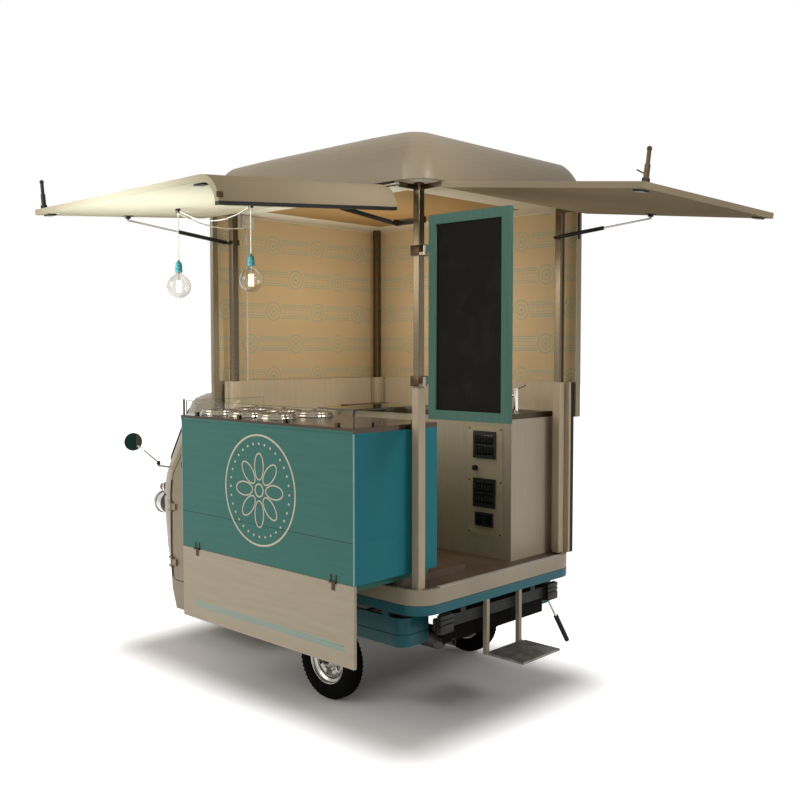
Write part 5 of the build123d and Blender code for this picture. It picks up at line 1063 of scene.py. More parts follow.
class TRUCK_OT_wheels(bpy.types.Operator):
    """Makes the three tyres with their tread, and the steel rims with vents and nuts."""
    bl_idname = "truck.wheels"
    bl_label = "Wheels"

    def execute(self, context):
        count = context.scene.truck_sizes.tread_blocks
        for name, (x, y), side in WHEELS:
            body = name + "_wheel"
            hub = Matrix.Translation((x, y, AXLE_Z)) @ Matrix.Rotation(math.radians(-90 * side), 4, "X")
            self.tyre(name, hub, body, count)
            self.rim(name, hub, body)
        return {"FINISHED"}

    def tyre(self, name, hub, body, count):
        half = [(0.2146, 0.0024), (0.2147, 0.0125), (0.2090, 0.0135), (0.2090, 0.0170), (0.2142, 0.0180),
                (0.2128, 0.0290), (0.2085, 0.0350), (0.2010, 0.0402), (0.1985, 0.0398), (0.1900, 0.0437),
                (0.1720, 0.0449), (0.1690, 0.0456), (0.1660, 0.0448), (0.1500, 0.0432), (0.1360, 0.0400),
                (0.1295, 0.0362)]
        profile = [(r, -h) for r, h in reversed(half)] + [(0.2090, -0.0016), (0.2090, 0.0016)] + half
        profile += [(0.1350, 0.0300), (0.1350, -0.0300)]
        bm = bmesh.new()
        lathe(bm, profile, hub, steps=96, closed=True)
        for v in bm.verts:
            v.co.z = max(v.co.z, 0.0)
        tyre = settle(bm, name + "_tyre.dressed", body, ["Tyre rubber"], angle=28)
        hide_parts(name + "_tyre")
        spots = []
        turn = hub.to_3x3()
        for row in (-1, 1):
            for i in range(count):
                spot = hub @ round_point(0.2080, 0.0330 * row, i + 0.25 * row, count)
                face = turn @ round_point(0.86, 0.5 * row, i + 0.25 * row, count)
                if spot.z >= 0.012:
                    spots.append((spot, face.normalized(), turn @ Vector((0, 0, 1))))
        bm = bmesh.new()
        block(bm, (-0.0065, -0.0045, -0.004), (0.0065, 0.0045, 0.0035), 0.0010, steps=1)
        repeated(name + "_tyre.shoulder_blocks", spots, bm, body, "Tyre rubber")

    def rim(self, name, hub, body):
        turned(name + "_rim.barrel", body, "Wheel steel", [
            (0.1270, -0.0360), (0.1345, -0.0372), (0.1370, -0.0345), (0.1340, -0.0330), (0.1272, -0.0322),
            (0.1255, -0.0200), (0.1120, -0.0140), (0.1120, 0.0100), (0.1255, 0.0180), (0.1272, 0.0322),
            (0.1340, 0.0330), (0.1370, 0.0345), (0.1345, 0.0372), (0.1270, 0.0360), (0.1230, 0.0310),
            (0.1215, 0.0190), (0.1080, 0.0110), (0.1080, -0.0150), (0.1215, -0.0210), (0.1230, -0.0310)],
            hub, 72, angle=30, closed=True)
        bm = bmesh.new()
        rows = ((0.030, 0.0290), (0.036, 0.0300), (0.046, 0.0240), (0.058, 0.0150), (0.068, 0.0140),
                (0.080, 0.0175), (0.092, 0.0170), (0.101, 0.0110), (0.1095, 0.0040))
        steps, vents = 80, 5
        rings = []
        for radius, height in rows:
            rings.append([bm.verts.new(hub @ round_point(radius, height, i, steps)) for i in range(steps)])
        for level, (one, two) in enumerate(zip(rings, rings[1:])):
            for i in range(steps):
                if level in (4, 5) and i % (steps // vents) < 7:
                    continue
                j = (i + 1) % steps
                bm.faces.new((one[i], one[j], two[j], two[i]))
        disc = settle(bm, name + "_rim.disc", body, ["Wheel steel"], angle=50)
        thick = disc.modifiers.new("Sheet", "SOLIDIFY")
        thick.thickness = 0.0035
        thick.offset = -1.0
        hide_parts(name + "_rim")
        turned(name + "_rim.cap", body, "Chrome", [
            (0.0330, 0.0270), (0.0335, 0.0315), (0.0315, 0.0330), (0.0290, 0.0332), (0.0275, 0.0318),
            (0.0240, 0.0328), (0.0120, 0.0368), (0.0, 0.0378)], hub, 40, angle=40)
        turned(name + "_rim.hub", body, "Cast alloy", [
            (0.028, -0.031), (0.036, -0.030), (0.0365, 0.029), (0.016, 0.0295), (0.016, -0.031)],
            hub, 32, closed=True)
        spots = []
        turn = hub.to_3x3()
        for i in range(5):
            spot = hub @ round_point(0.056, 0.0135, i + 0.72, 5)
            spots.append((spot, turn @ Vector((0, 0, 1)), turn @ round_point(1.0, 0.0, i + 0.72, 5)))
        nut = small_part([
            (0.0105, 0.0), (0.0110, 0.003), (0.0085, 0.0035), (0.0085, 0.011), (0.0065, 0.0135),
            (0.0045, 0.0135), (0.0040, 0.017), (0, 0.0175)], 6)
        repeated(name + "_rim.nuts", spots, nut, body, "Chrome")


def ribbon(bm, points, width, near, far):
    """Adds a closed flat line of even width in an upright plane, from one depth along Y to another."""
    rows = []
    for i, (x, z) in enumerate(points):
        before, after = points[i - 1], points[(i + 1) % len(points)]
        way = Vector((after[0] - before[0], after[1] - before[1])).normalized()
        across = Vector((-way.y, way.x)) * width / 2
        corners = ((1, far), (-1, far), (-1, near), (1, near))
        rows.append([bm.verts.new((x + k * across.x, y, z + k * across.y)) for k, y in corners])
    joined_rings(bm, rows, True)


def ring_points(middle, radius, count):
    """Points round a circle in two directions."""
    return [(middle[0] + radius * math.cos(2 * math.pi * i / count),
             middle[1] + radius * math.sin(2 * math.pi * i / count)) for i in range(count)]


class TRUCK_OT_counter(bpy.types.Operator):
    """Makes the counter's painted ring and strips, the glass edges, the flap's trim and the tub lids."""
    bl_idname = "truck.counter"
    bl_label = "Counter trim and lids"

    def execute(self, context):
        self.painted_ring(context.scene.truck_sizes.ring_radius)
        self.edge_strips()
        self.flap_trim()
        for row in range(2):
            for column in range(3):
                number = row * 3 + column + 1
                self.lid(number, FIRST_LID_XY[0] + LID_PITCH * column, FIRST_LID_XY[1] - LID_PITCH * row)
        return {"FINISHED"}

    def painted_ring(self, radius):
        middle = RING_MIDDLE_XZ
        skin = COUNTER_HIGH[1]
        bm = bmesh.new()
        ribbon(bm, ring_points(middle, radius, 96), 0.010, skin - 0.0004, skin + 0.0006)
        ribbon(bm, ring_points(middle, radius * 0.115, 32), 0.008, skin - 0.0004, skin + 0.0006)
        for k in range(8):
            turn = math.pi / 4 * k
            petal = []
            for i in range(32):
                a = 2 * math.pi * i / 32
                out = radius * (0.43 + 0.24 * math.cos(a))
                across = radius * 0.125 * math.sin(a)
                petal.append((middle[0] + out * math.cos(turn) - across * math.sin(turn),
                              middle[1] + out * math.sin(turn) + across * math.cos(turn)))
            ribbon(bm, petal, 0.007, skin - 0.0004, skin + 0.0006)
        settle(bm, "counter_body.painted_ring", "counter", ["Cream decal"])
        spots = []
        for x, z in ring_points(middle, radius * 0.845, 32):
            spots.append(((x, skin - 0.0004, z), (0, 1, 0), (1, 0, 0)))
        dot = small_part([(0, 0), (0.0065, 0), (0.0065, 0.001), (0, 0.001)], 16)
        repeated("counter_body.painted_dots", spots, dot, "counter", "Cream decal")

    def edge_strips(self):
        bm = bmesh.new()
        low, high = COUNTER_LOW[2] + 0.001, COUNTER_HIGH[2] - 0.026
        skin = COUNTER_HIGH[1]
        for corner, inward in ((COUNTER_LOW[0], 1), (COUNTER_HIGH[0], -1)):
            a, b = sorted((corner - 0.0010 * inward, corner + 0.005 * inward))
            block(bm, (a, skin, low), (b, skin + 0.0012, high), 0.0005)
            a, b = sorted((corner - 0.0012 * inward, corner))
            block(bm, (a, skin - 0.005, low), (b, skin + 0.0010, high), 0.0005)
        settle(bm, "counter_body.edge_strips", "counter", ["Pale teal stripe"])
        lipping = ((COUNTER_LOW[0] - 0.0002, skin + 0.0036, 1.4975), (COUNTER_HIGH[0], skin + 0.0052, 1.5090))
        boxes("counter_top.teal_lipping", "counter", "Teal boards", [lipping], 0.0004)
        boxes("glass_guard.edges", "counter", "Glass edge", [
            ((-1.9408, 0.9676, 1.6026), (-0.8290, 0.9764, 1.6038)),
            ((-2.1918, 0.9752, 1.6034), (-1.9406, 0.9766, 1.6106)),
            ((-2.1918, 0.4436, 1.6034), (-2.1906, 0.9766, 1.6106)),
            ((-1.9416, 0.4436, 1.6034), (-1.9404, 0.9766, 1.6106)),
            ((-0.8274, 0.4236, 1.6026), (-0.8186, 0.9664, 1.6038))], 0.0004)

    def flap_trim(self):
        skin = COUNTER_HIGH[1]
        boxes("counter_flap.stripes", "flap", "Pale teal stripe", [
            ((-2.140, skin - 0.0004, z - 0.0040), (-0.920, skin + 0.0006, z + 0.0040))
            for z in (0.468, 0.486)], 0.0002)
        pin_y, pin_z = skin + 0.006, 0.784
        fixed = bmesh.new()
        moving = bmesh.new()
        fixed_screws, moving_screws = [], []
        for hinge in FLAP_HINGES_X:
            for start in (hinge, hinge + 0.035):
                block(fixed, (start - 0.0003, skin, 0.7905), (start + 0.0093, skin + 0.0036, 0.8196), 0.0006)
                at = Matrix.Translation((start - 0.0003, pin_y, pin_z)) @ Matrix.Rotation(math.pi / 2, 4, "Y")
                lathe(fixed, [(0, 0), (0.0059, 0), (0.0059, 0.0096), (0, 0.0096)], at, steps=20)
                for z in (0.799, 0.812):
                    fixed_screws.append(((start + 0.0045, skin + 0.0036, z), (0, 1, 0), (1, 0, 0)))
            block(moving, (hinge + 0.0096, skin, 0.7446), (hinge + 0.0344, skin + 0.0036, 0.7780), 0.0006)
            at = Matrix.Translation((hinge + 0.0096, pin_y, pin_z)) @ Matrix.Rotation(math.pi / 2, 4, "Y")
            lathe(moving, [(0, 0), (0.0059, 0), (0.0059, 0.0248), (0, 0.0248)], at, steps=20)
            for x, z in ((0.015, 0.751), (0.029, 0.751), (0.022, 0.766)):
                moving_screws.append(((hinge + x, skin + 0.0036, z), (0, 1, 0), (1, 0, 0)))
        settle(fixed, "counter_body.hinge_leaves", "counter", ["Dark bronze"])
        settle(moving, "counter_flap.hinge_leaves", "flap", ["Dark bronze"])
        repeated("counter_body.hinge_screws", fixed_screws, screw_head(0.0028, 0.0012), "counter",
                 "Dark bronze")
        repeated("counter_flap.hinge_screws", moving_screws, screw_head(0.0032, 0.0014), "flap",
                 "Dark bronze")

    def lid(self, number, x, y):
        profile = [(0, 0.0200), (0.0945, 0.0200), (0.0985, 0.0118), (0.1045, 0.0112), (0.1050, 0.0006),
                   (0.1062, 0.0), (0.1070, 0.0012), (0.1070, 0.0045), (0.1062, 0.0060), (0.1062, 0.0120),
                   (0.1052, 0.0136), (0.1010, 0.0142), (0.0998, 0.0156), (0.0998, 0.0240), (0.0988, 0.0256),
                   (0.0965, 0.0262), (0.0940, 0.0254), (0.0915, 0.0232), (0.0880, 0.0226), (0.0300, 0.0232),
                   (0.0100, 0.0240), (0.0062, 0.0256), (0.0058, 0.0310), (0.0090, 0.0330), (0.0118, 0.0352),
                   (0.0118, 0.0376), (0.0095, 0.0396), (0, 0.0402)]
        at = Matrix.Translation((x, y, COUNTER_HIGH[2] + 0.0003))
        made = turned(
            "tub_lid_%d.dressed" % number, "lid_%d" % number, "Lid steel", profile, at, 64, angle=40)
        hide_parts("tub_lid_%d" % number)


class TRUCK_OT_cab(bpy.types.Operator):
    """Makes the cab's window rubbers, mouldings, wiper, door handles and grille bars."""
    bl_idname = "truck.cab"
    bl_label = "Cab trim"

    def execute(self, context):
        self.rubbers(context.scene.truck_sizes.seal_radius)
        self.mouldings()
        self.wiper()
        for side, name in ((1, "left"), (-1, "right")):
            self.handle(side, name)
        return {"FINISHED"}

    def rubbers(self, radius):
        screen = rounded_loop([(-0.470, 1.150), (0.470, 1.150), (0.405, 1.490), (-0.405, 1.490)], 0.040)
        line = [(nose_x(y, z) + 0.001, y, z) for y, z in screen]
        swept("cab_shell.screen_rubber", "truck", "Black rubber",
              line, radius * 1.6, 10, True)
        line = [(nose_x(y, z) + radius * 1.6, y, z) for y, z in screen]
        swept("cab_shell.screen_bright_strip", "truck", "Chrome", line, 0.0030, 6, True)
        rear = rounded_loop([(-0.330, 1.160), (0.330, 1.160), (0.300, 1.450), (-0.300, 1.450)], 0.040)
        line = [(-0.6305, y, z) for y, z in rear]
        swept("cab_shell.back_window_rubber", "truck", "Black rubber",
              line, radius, 8, True)
        window = rounded_loop([(-0.485, 1.130), (-0.168, 1.130), (-0.3283, 1.435), (-0.485, 1.435)], 0.030)
        for side, name in ((1, "left"), (-1, "right")):
            line = [(x, side * side_y(x, z), z) for x, z in window]
            swept(name + "_door.window_rubber", name + "_door_body", "Black rubber",
                  line, radius, 8, True)

    def nose_line(self, half, z, count):
        """Points across the nose at one height, just proud of it."""
        across = [half * (2 * i / (count - 1) - 1) for i in range(count)]
        return [(nose_x(y, z) + 0.002, y, z) for y in across]

    def mouldings(self):
        line = self.nose_line(0.560, 0.935, 25)
        swept("cab_shell.nose_rubber", "truck", "Black rubber", line, 0.0075, 8)
        bright = bmesh.new()
        tube(bright, [(x + 0.005, y, z + 0.004) for x, y, z in line], 0.0028, sides=6)
        for k in range(6):
            tube(bright, self.nose_line(0.15, 0.600 + 0.026 * k, 7), 0.005, sides=8)
        settle(bright, "cab_shell.bright_bars", "truck", ["Chrome"])
        gutter = self.nose_line(0.500, 1.545, 25)
        swept("cab_shell.rain_rail", "truck", "Cream cab paint", gutter, 0.005, 8)
        bm = bmesh.new()
        door_x = -0.0865
        for side in (1, -1):
            tube(bm, [(door_x, side * (side_y(door_x, z) + 0.001), z)
                      for z in (0.42, 0.52, 0.62, 0.74, 0.86, 0.96, 1.05)], 0.0042, sides=8)
        settle(bm, "cab_shell.door_front_rubber", "truck", ["Black rubber"])

    def wiper(self):
        root = Vector((nose_x(0.10, 1.105) + 0.004, 0.10, 1.105))
        tip = Vector((nose_x(0.24, 1.310) + 0.020, 0.24, 1.310))
        bm = bmesh.new()
        lathe(bm, [(0, -0.004), (0.016, -0.004), (0.014, 0.010), (0.008, 0.016), (0, 0.018)],
              Matrix.Translation(root) @ Matrix.Rotation(math.radians(70), 4, "Y"), steps=20)
        arm = [root + Vector((0.012, 0, 0)), root.lerp(tip, 0.3) + Vector((0.014, 0, 0)), tip]
        tube(bm, arm, 0.004, sides=8)
        settle(bm, "cab_shell.wiper_arm", "truck", ["Chrome"])
        blade = []
        for k in range(7):
            y = 0.12 + 0.04 * k
            z = 1.185 + 0.0415 * k
            blade.append((nose_x(y, z) + 0.013, y, z))
        swept("cab_shell.wiper_blade", "truck", "Black rubber", blade, 0.005, 6)

    def handle(self, side, name):
        bm = bmesh.new()
        near, far = sorted((side * 0.5995, side * 0.6045))
        block(bm, (-0.505, near, 0.932), (-0.435, far, 0.968), 0.002)
        tube(bm, [(-0.490, side * 0.602, 0.950), (-0.490, side * 0.622, 0.950), (-0.470, side * 0.628, 0.950),
                  (-0.385, side * 0.626, 0.948)], 0.0065, sides=10)
        settle(bm, name + "_door.handle", name + "_door_body", ["Chrome"])


class TRUCK_OT_road_lamps(bpy.types.Operator):
    """Makes the drum head lamps, the indicators, the tail lamps and the mirrors."""
    bl_idname = "truck.road_lamps"
    bl_label = "Road lamps and mirrors"

    def execute(self, context):
        forward = Matrix.Rotation(math.pi / 2, 4, "Y")
        drums, rings, lenses, ambers = bmesh.new(), bmesh.new(), bmesh.new(), bmesh.new()
        for side in (1, -1):
            at = Matrix.Translation((0, side * HEAD_LAMP_YZ[0], HEAD_LAMP_YZ[1])) @ forward
            lathe(drums, [(0, 0.190), (0.0745, 0.190), (0.0755, 0.232), (0.0735, 0.240), (0, 0.240)],
                  at, steps=48)
            lathe(rings, [(0, 0.238), (0.0718, 0.238), (0.0728, 0.262), (0.0728, 0.290), (0.0715, 0.300),
                          (0, 0.300)], at, steps=48)
            lathe(rings, [(0.0700, 0.296), (0.0775, 0.298), (0.0792, 0.306), (0.0788, 0.316), (0.0765, 0.323),
                          (0.0735, 0.326), (0.0700, 0.324)], at, steps=48, closed=True)
            lathe(lenses, [(0, 0.318), (0.0705, 0.3185), (0.0705, 0.3225), (0.055, 0.3290), (0.030, 0.3335),
                           (0, 0.3350)], at, steps=48)
            y = side * 0.500
            x = nose_x(y, 0.975)
            out = Matrix.Rotation(math.radians(38 * side), 4, "Z") @ forward
            at = Matrix.Translation((x - 0.004, y, 0.975)) @ out
            lathe(rings, [(0, 0), (0.030, 0), (0.030, 0.008), (0.026, 0.012), (0, 0.012)], at, steps=24)
            lathe(ambers, [(0, 0.011), (0.025, 0.011), (0.025, 0.020), (0.018, 0.030), (0, 0.034)],
                  at, steps=24)
        drum = settle(drums, "road_lamps.drums", "truck", ["Black plastic"])
        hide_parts("road_lamps")
        settle(rings, "road_lamps.rings", "truck", ["Chrome"])
        settle(lenses, "road_lamps.lenses", "truck", ["Head lamp lens"], angle=60)
        settle(ambers, "road_lamps.indicators", "truck", ["Amber lens"])
        tails = bmesh.new()
        for side in (1, -1):
            y0, y1 = side * TAIL_LAMP_Y - 0.050, side * TAIL_LAMP_Y + 0.050
            block(tails, (-2.2990, y0, 0.470), (-2.2900, y1, 0.570), 0.004, mat=0)
            block(tails, (-2.3200, y0 + 0.002, 0.472), (-2.2985, y1 - 0.002, 0.5185), 0.005, mat=1)
            block(tails, (-2.3190, y0 + 0.002, 0.5205), (-2.2985, y1 - 0.002, 0.5430), 0.004, mat=2)
            block(tails, (-2.3200, y0 + 0.002, 0.5450), (-2.2985, y1 - 0.002, 0.5680), 0.005, mat=1)
        settle(tails, "road_lamps.tail_lamps", "truck", ["Black plastic", "Red lens", "Amber lens"])
        for side, name in ((1, "left"), (-1, "right")):
            self.mirror(side, name)
        return {"FINISHED"}

    def mirror(self, side, name):
        pin = Vector((MIRROR_PIN[0], side * MIRROR_PIN[1], MIRROR_PIN[2]))
        head = pin + Vector((0.070, side * 0.145, 0.163))
        body = name + "_mirror_body"
        toe = Matrix.Rotation(math.radians(-14 * side), 4, "Z") @ Matrix.Rotation(math.pi / 2, 4, "Y")
        at = Matrix.Translation(head) @ toe
        shell = turned(name + "_mirror.shell", body, "Black plastic", [
            (0, 0.0140), (0.024, 0.0132), (0.042, 0.0095), (0.0545, 0.0020), (0.0580, -0.0060),
            (0.0578, -0.0115), (0.0555, -0.0138), (0.0530, -0.0125), (0.0530, -0.0100), (0, -0.0100)],
            at, 56, angle=40)
        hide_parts(name + "_mirror")
        turned(name + "_mirror.glass", body, "Mirror glass", [
            (0, -0.0104), (0.0528, -0.0104), (0.0528, -0.0114), (0.030, -0.0126), (0, -0.0130)],
            at, 56, angle=60)
        low = pin + Vector((0, 0, 0.0183))
        reach = head - low
        stalk = [low, low + reach * 0.5, low + reach * 0.90, low + reach * 0.97 + Vector((0.010, 0, 0))]
        swept(name + "_mirror.stalk", body, "Chrome", stalk, 0.0070, 12)
        hub = Matrix.Translation(pin + Vector((0, 0, 0.0063)))
        turned(name + "_mirror.hub", body, "Black plastic", [
            (0.0053, 0), (0.0120, 0), (0.0125, 0.006), (0.0110, 0.014), (0.0122, 0.020),
            (0.0105, 0.0245), (0.0053, 0.0245)], hub, 24, closed=True)


class TRUCK_OT_seat(bpy.types.Operator):
    """Makes the driver's bench: a sewn cushion, a sewn back and a boarded base."""
    bl_idname = "truck.seat"
    bl_label = "Driver's bench"
    swell = 0.010
    channel_pitch = 0.16
    channel_depth = 0.010
    channel_width = 0.010
    voxel = 0.006
    pressure = 4.0
    frames = 20

    def execute(self, context):
        pad = self.cushion("cab_seat.cushion", (-0.606, -0.476, 0.652), (-0.334, 0.476, 0.740), 2, 0.007)
        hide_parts("cab_seat")
        self.cushion("cab_seat.back", (-0.607, -0.476, 0.742), (-0.543, 0.476, 1.126), 0, 0.007)
        boxes("cab_seat.base", "truck", "Bench board", [
            ((-0.610, -0.460, 0.630), (-0.350, 0.460, 0.650)),
            ((-0.370, -0.460, 0.3655), (-0.350, 0.460, 0.630)),
            ((-0.610, -0.460, 0.3655), (-0.370, -0.440, 0.630)),
            ((-0.610, 0.440, 0.3655), (-0.370, 0.460, 0.630))], 0.002)
        return {"FINISHED"}

    def cushion(self, name, low, high, up_axis, crown):
        """A stuffed pad: a soft-cornered cover blown up as cloth, then sewn in channels."""
        half = [(b - a) / 2 - self.swell for a, b in zip(low, high)]
        middle = [(a + b) / 2 for a, b in zip(low, high)]
        bm = bmesh.new()
        bmesh.ops.create_cube(bm, size=2.0)
        bmesh.ops.subdivide_edges(bm, edges=bm.edges, cuts=39, use_grid_fill=True)
        flat = 0 if up_axis == 2 else 2
        for v in bm.verts:
            spread = sum(abs(c) ** 6 for c in v.co) ** (1 / 6)
            soft = v.co * (max(abs(c) for c in v.co) / spread)
            place = [m + h * c for m, h, c in zip(middle, half, soft)]
            rise = crown * (1 - v.co[flat] ** 2) * (1 - v.co.y ** 4)
            place[up_axis] += (rise - crown) * max(v.co[up_axis], 0.0)
            v.co = place
        bm = self.blown_up(bm)
        for v in bm.verts:
            to_seam = abs((v.co.y + self.channel_pitch / 2) % self.channel_pitch - self.channel_pitch / 2)
            depth = (v.co[up_axis] - middle[up_axis]) / half[up_axis]
            dip = self.channel_depth * math.exp(-(to_seam / self.channel_width) ** 2)
            v.co[up_axis] -= dip * min(max(depth, 0.0), 1.0)
        pad = settle(bm, name, "truck", ["Bench cover"], angle=80)
        return pad

    def blown_up(self, bm):
        """The cover after some frames of cloth under pressure, with no point moved further than the swell."""
        scene = bpy.context.scene
        mesh = bpy.data.meshes.new("Cover")
        bm.to_mesh(mesh)
        bm.free()
        cover = bpy.data.objects.new("Cover", mesh)
        scene.collection.objects.link(cover)
        remesh = cover.modifiers.new("Even", "REMESH")
        remesh.mode = "VOXEL"
        remesh.voxel_size = self.voxel
        graph = bpy.context.evaluated_depsgraph_get()
        start = bpy.data.meshes.new_from_object(cover.evaluated_get(graph))
        cover.modifiers.remove(remesh)
        cover.data = start
        cloth = cover.modifiers.new("Blown up", "CLOTH")
        cloth.settings.use_pressure = True
        cloth.settings.uniform_pressure_force = self.pressure
        cloth.settings.effector_weights.gravity = 0.0
        for number in range(1, self.frames + 1):
            scene.frame_set(number)
        graph = bpy.context.evaluated_depsgraph_get()
        grown = bmesh.new()
        grown.from_object(cover, graph)
        for v, old in zip(grown.verts, start.vertices):
            moved = v.co - old.co
            if moved.length > self.swell:
                v.co = old.co + moved * (self.swell / moved.length)
        scene.frame_set(1)
        bpy.data.objects.remove(cover)
        bpy.data.meshes.remove(mesh)
        bpy.data.meshes.remove(start)
        return grown


class TRUCK_OT_fittings(bpy.types.Operator):
    """Makes the small fittings of the kiosk: seals, strips, conduit wrap, switch gear, screws and rivets."""
    bl_idname = "truck.fittings"
    bl_label = "Kiosk fittings"

    def execute(self, context):
        self.roof_corners()
        self.awning_catches()
        self.wall_strips()
        self.conduit()
        self.switch_gear()
        self.rivets()
        self.lever_grip()
        self.board_clamps()
        return {"FINISHED"}

    def roof_corners(self):
        boxes("roof_shell.corner_seals", "truck", "Black rubber", [
            ((-2.200, 0.712, 2.6800), (-2.060, 0.716, 2.6900)),
            ((-2.372, 0.400, 2.6760), (-2.366, 0.560, 2.6900))])

    def awning_catches(self):
        bm = bmesh.new()
        slope = Matrix.Rotation(-LEFT_DROOP, 4, "X")
        spot = on_left_awning(-2.2165, 1.046, -0.080)
        made = block(bm, (-0.0050, -0.016, -0.012), (0.0030, 0.016, 0.012), 0.003)
        bmesh.ops.transform(bm, matrix=Matrix.Translation(spot) @ slope, verts=made)
        settle(bm, "left_awning.catch", "left_awning_body", ["Dark bronze"])
        spots = []
        down = (0, -math.sin(LEFT_DROOP), -math.cos(LEFT_DROOP))
        for x in (-2.070, -0.717):
            for dx in (-0.011, 0.011):
                for out in (0.542, 0.578):
                    spots.append((on_left_awning(x + dx, out, -0.0200), down, (1, 0, 0)))
        repeated("left_awning_fittings.screws", spots, screw_head(0.0036, 0.0016), "left_awning_body",
                 "Chrome")

    def wall_strips(self):
        boxes("lower_walls.end_rubber", "truck", "Black rubber", [
            ((-2.3085, -0.6650, 0.716), (-2.3000, -0.6400, 1.700)),
            ((-2.3260, -0.6900, 2.520), (-2.3195, -0.6720, 2.6895))])
        # Painted shade: a black sheet across the back under the deck, where there is only shade, hides the
        # bright floor seen beneath the truck.
        boxes("chassis_frame.apron", "truck", "Black sheet of painted shade", [
            ((-2.2635, -0.430, 0.400), (-2.2605, 0.430, 0.665))])
        bm = bmesh.new()
        block(bm, (-2.3265, -0.520, 0.7152), (-2.2975, 0.520, 0.7172), 0.0008)
        for k in range(5):
            x = -2.3235 + 0.0055 * k
            block(bm, (x, -0.520, 0.7170), (x + 0.0030, 0.520, 0.7188), 0.0006, steps=1)
        settle(bm, "deck_rim.nosing", "truck", ["Satin aluminium"])
        boxes("lower_walls.polished_sleeve", "truck", "Polished steel", [
            ((-0.7630, -0.5740, 0.716), (-0.7470, -0.5585, 1.701)),
            ((-0.8270, -0.6220, 0.720), (-0.8070, -0.6170, 1.700))])

    def conduit(self):
        wrap = []
        turns, per_turn = 46, 12
        for i in range(turns * per_turn + 1):
            a = 2 * math.pi * i / per_turn
            wrap.append((CONDUIT_XY[0] + 0.0080 * math.cos(a), CONDUIT_XY[1] + 0.0080 * math.sin(a),
                         1.702 + 0.906 * i / (turns * per_turn)))
        swept("junction_box.conduit_wrap", "truck", "Pale cord sheath", wrap, 0.0018, 6)
        boxes("junction_box.lid", "truck", "Pale box plastic", [
            ((-0.7480, 0.4230, 2.6130), (-0.7436, 0.5170, 2.6870))], 0.0015)
        spots = [((-0.7480, y, z), (-1, 0, 0), (0, 1, 0)) for y in (0.430, 0.510) for z in (2.620, 2.680)]
        repeated("junction_box.screws", spots, screw_head(0.0035, 0.0014), "truck", "Chrome")

    def switch_gear(self):
        face = SWITCH_FACE_Y
        corners = [(x, z) for x in (-2.113, -1.887) for z in (0.842, 1.140, 1.438)]
        spots = [((x, face, z), (0, 1, 0), (1, 0, 0)) for x, z in corners]
        repeated("control_panel.screws", spots, screw_head(0.0055, 0.0022), "truck", "Dark bronze")
        bm = bmesh.new()
        front = face + 0.009
        rails = [low + (high - low) * share for low, high in SWITCH_FRAMES_Z for share in (0.30, 0.70)]
        for z in rails:
            block(bm, (-2.066, front - 0.002, z - 0.026), (-1.934, front + 0.0016, z + 0.026), 0.001)
        for x in (-2.032, -1.968):
            block(bm, (x - 0.026, front - 0.002, 0.892), (x + 0.026, front + 0.0020, 0.948), 0.002)
        settle(bm, "control_panel.frames", "truck", ["Black gloss plastic"])
        spots = []
        for z in rails:
            for k in range(6):
                spots.append(((-2.052 + 0.0208 * k, front + 0.0012, z), (0, 1, 0), (1, 0, 0)))
        part = bmesh.new()
        block(part, (-0.0065, -0.016, 0), (0.0065, 0.016, 0.0030), 0.0008, steps=1)
        block(part, (-0.0030, -0.007, 0.0028), (0.0030, 0.004, 0.0085), 0.0008, steps=1)
        repeated("control_panel.breakers", spots, part, "truck", "Black plastic")
        bm = bmesh.new()
        at = Matrix.Translation((-1.935, -0.2140, 1.2125)) @ Matrix.Rotation(-math.pi / 2, 4, "X")
        lathe(bm, [(0, 0), (0.0120, 0), (0.0115, 0.004), (0, 0.005)], at, steps=24)
        block(bm, (-1.9380, -0.2140, 1.2010), (-1.9320, -0.2065, 1.2240), 0.001)
        settle(bm, "control_dial.pointer", "dial", ["Black plastic"])

    def rivets(self):
        spots = []
        for k in range(12):
            x = -2.295 + 0.146 * k
            for z in (1.520, 2.668):
                spots.append(((x, RIGHT_PANEL_Y, z), (0, -1, 0), (1, 0, 0)))
        for k in range(10):
            y = -0.680 + 0.147 * k
            for z in (1.640, 2.668):
                spots.append(((FRONT_PANEL_X, y, z), (1, 0, 0), (0, 1, 0)))
        dome = small_part([(0, 0), (0.0060, 0), (0.0055, 0.0014), (0.0030, 0.0024), (0, 0.0027)], 12)
        repeated("wall_panels.rivets", spots, dome, "truck", "Satin aluminium")

    def board_clamps(self):
        """Shells over the two clamps and hinge barrels that carry the chalkboard."""
        shells, fixed, moving = bmesh.new(), bmesh.new(), bmesh.new()
        for z in BOARD_CLAMPS_Z:
            block(shells, (-2.2828, 0.5632, z - 0.0255), (-2.2235, 0.6288, z + 0.0255), 0.003)
            at = Matrix.Translation((*BOARD_HINGE_XY, z))
            lathe(fixed, [(0, -0.0256), (0.0110, -0.0256), (0.0118, -0.0246), (0.0118, -0.0112),
                          (0, -0.0112)], at, steps=24)
            lathe(moving, [(0.0062, -0.0103), (0.0118, -0.0103), (0.0118, 0.0200), (0.0108, 0.0212),
                           (0.0062, 0.0212)], at, steps=24, closed=True)
        settle(shells, "corner_posts.board_clamps", "truck", ["Dark bronze"])
        settle(fixed, "corner_posts.board_barrels", "truck", ["Lid steel"])
        settle(moving, "chalkboard.barrels", "board", ["Lid steel"])

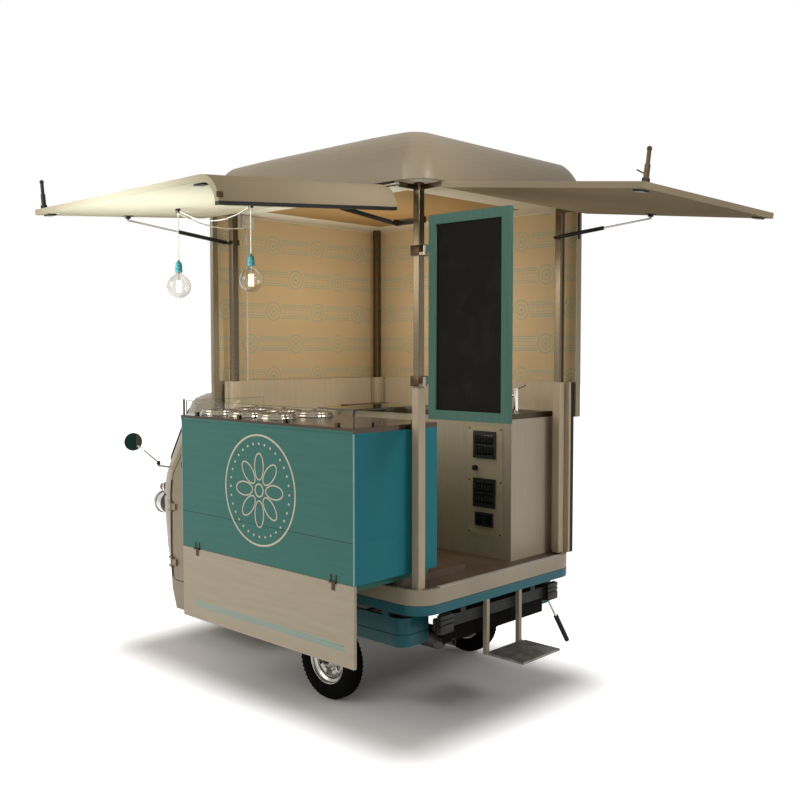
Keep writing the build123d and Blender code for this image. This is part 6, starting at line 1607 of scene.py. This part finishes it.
    def lever_grip(self):
        at = Matrix.Translation(LEVER_PIVOT) @ Matrix.Rotation(math.radians(-35), 4, "X")
        profile = [(0, -0.3555), (0.010, -0.3550), (0.0142, -0.3500)]
        for k in range(18):
            low = -0.3440 + 0.0105 * k
            profile += [(0.0142, low), (0.0132, low + 0.0025), (0.0142, low + 0.0050)]
        profile += [(0.0140, -0.1470), (0.009, -0.1450), (0, -0.1450)]
        turned("hand_lever.grip", "brake_lever", "Black rubber", profile, at, 24, angle=50)


class TRUCK_PT_panel(bpy.types.Panel):
    """Lists the makers of the truck's pieces."""
    bl_idname = "TRUCK_PT_panel"
    bl_label = "Food truck"
    bl_space_type = "VIEW_3D"
    bl_region_type = "UI"
    bl_category = "Truck"

    def draw(self, context):
        column = self.layout.column(align=True)
        for operator in OPERATORS:
            column.operator(operator.bl_idname, text=operator.bl_label)


GROUPS = (TruckColours, TruckSizes, TruckStudio)
OPERATORS = (
    TRUCK_OT_stage, TRUCK_OT_coachwork, TRUCK_OT_cords, TRUCK_OT_wheels, TRUCK_OT_counter, TRUCK_OT_cab,
    TRUCK_OT_road_lamps, TRUCK_OT_seat, TRUCK_OT_fittings)


def register():
    """Registers the classes and hangs the settings on the scene."""
    for each in (*GROUPS, *OPERATORS, TRUCK_PT_panel):
        bpy.utils.register_class(each)
    bpy.types.Scene.truck_colours = PointerProperty(type=TruckColours)
    bpy.types.Scene.truck_sizes = PointerProperty(type=TruckSizes)
    bpy.types.Scene.truck_studio = PointerProperty(type=TruckStudio)


def unregister():
    """Takes the settings and the classes away again."""
    del bpy.types.Scene.truck_studio
    del bpy.types.Scene.truck_sizes
    del bpy.types.Scene.truck_colours
    for each in reversed((*GROUPS, *OPERATORS, TRUCK_PT_panel)):
        bpy.utils.unregister_class(each)


def main():
    """Makes the whole truck."""
    register()
    bpy.ops.truck.stage()
    bpy.ops.truck.coachwork()
    bpy.ops.truck.cords()
    bpy.ops.truck.wheels()
    bpy.ops.truck.counter()
    bpy.ops.truck.cab()
    bpy.ops.truck.road_lamps()
    bpy.ops.truck.seat()
    bpy.ops.truck.fittings()


if __name__ == "__main__":
    main()
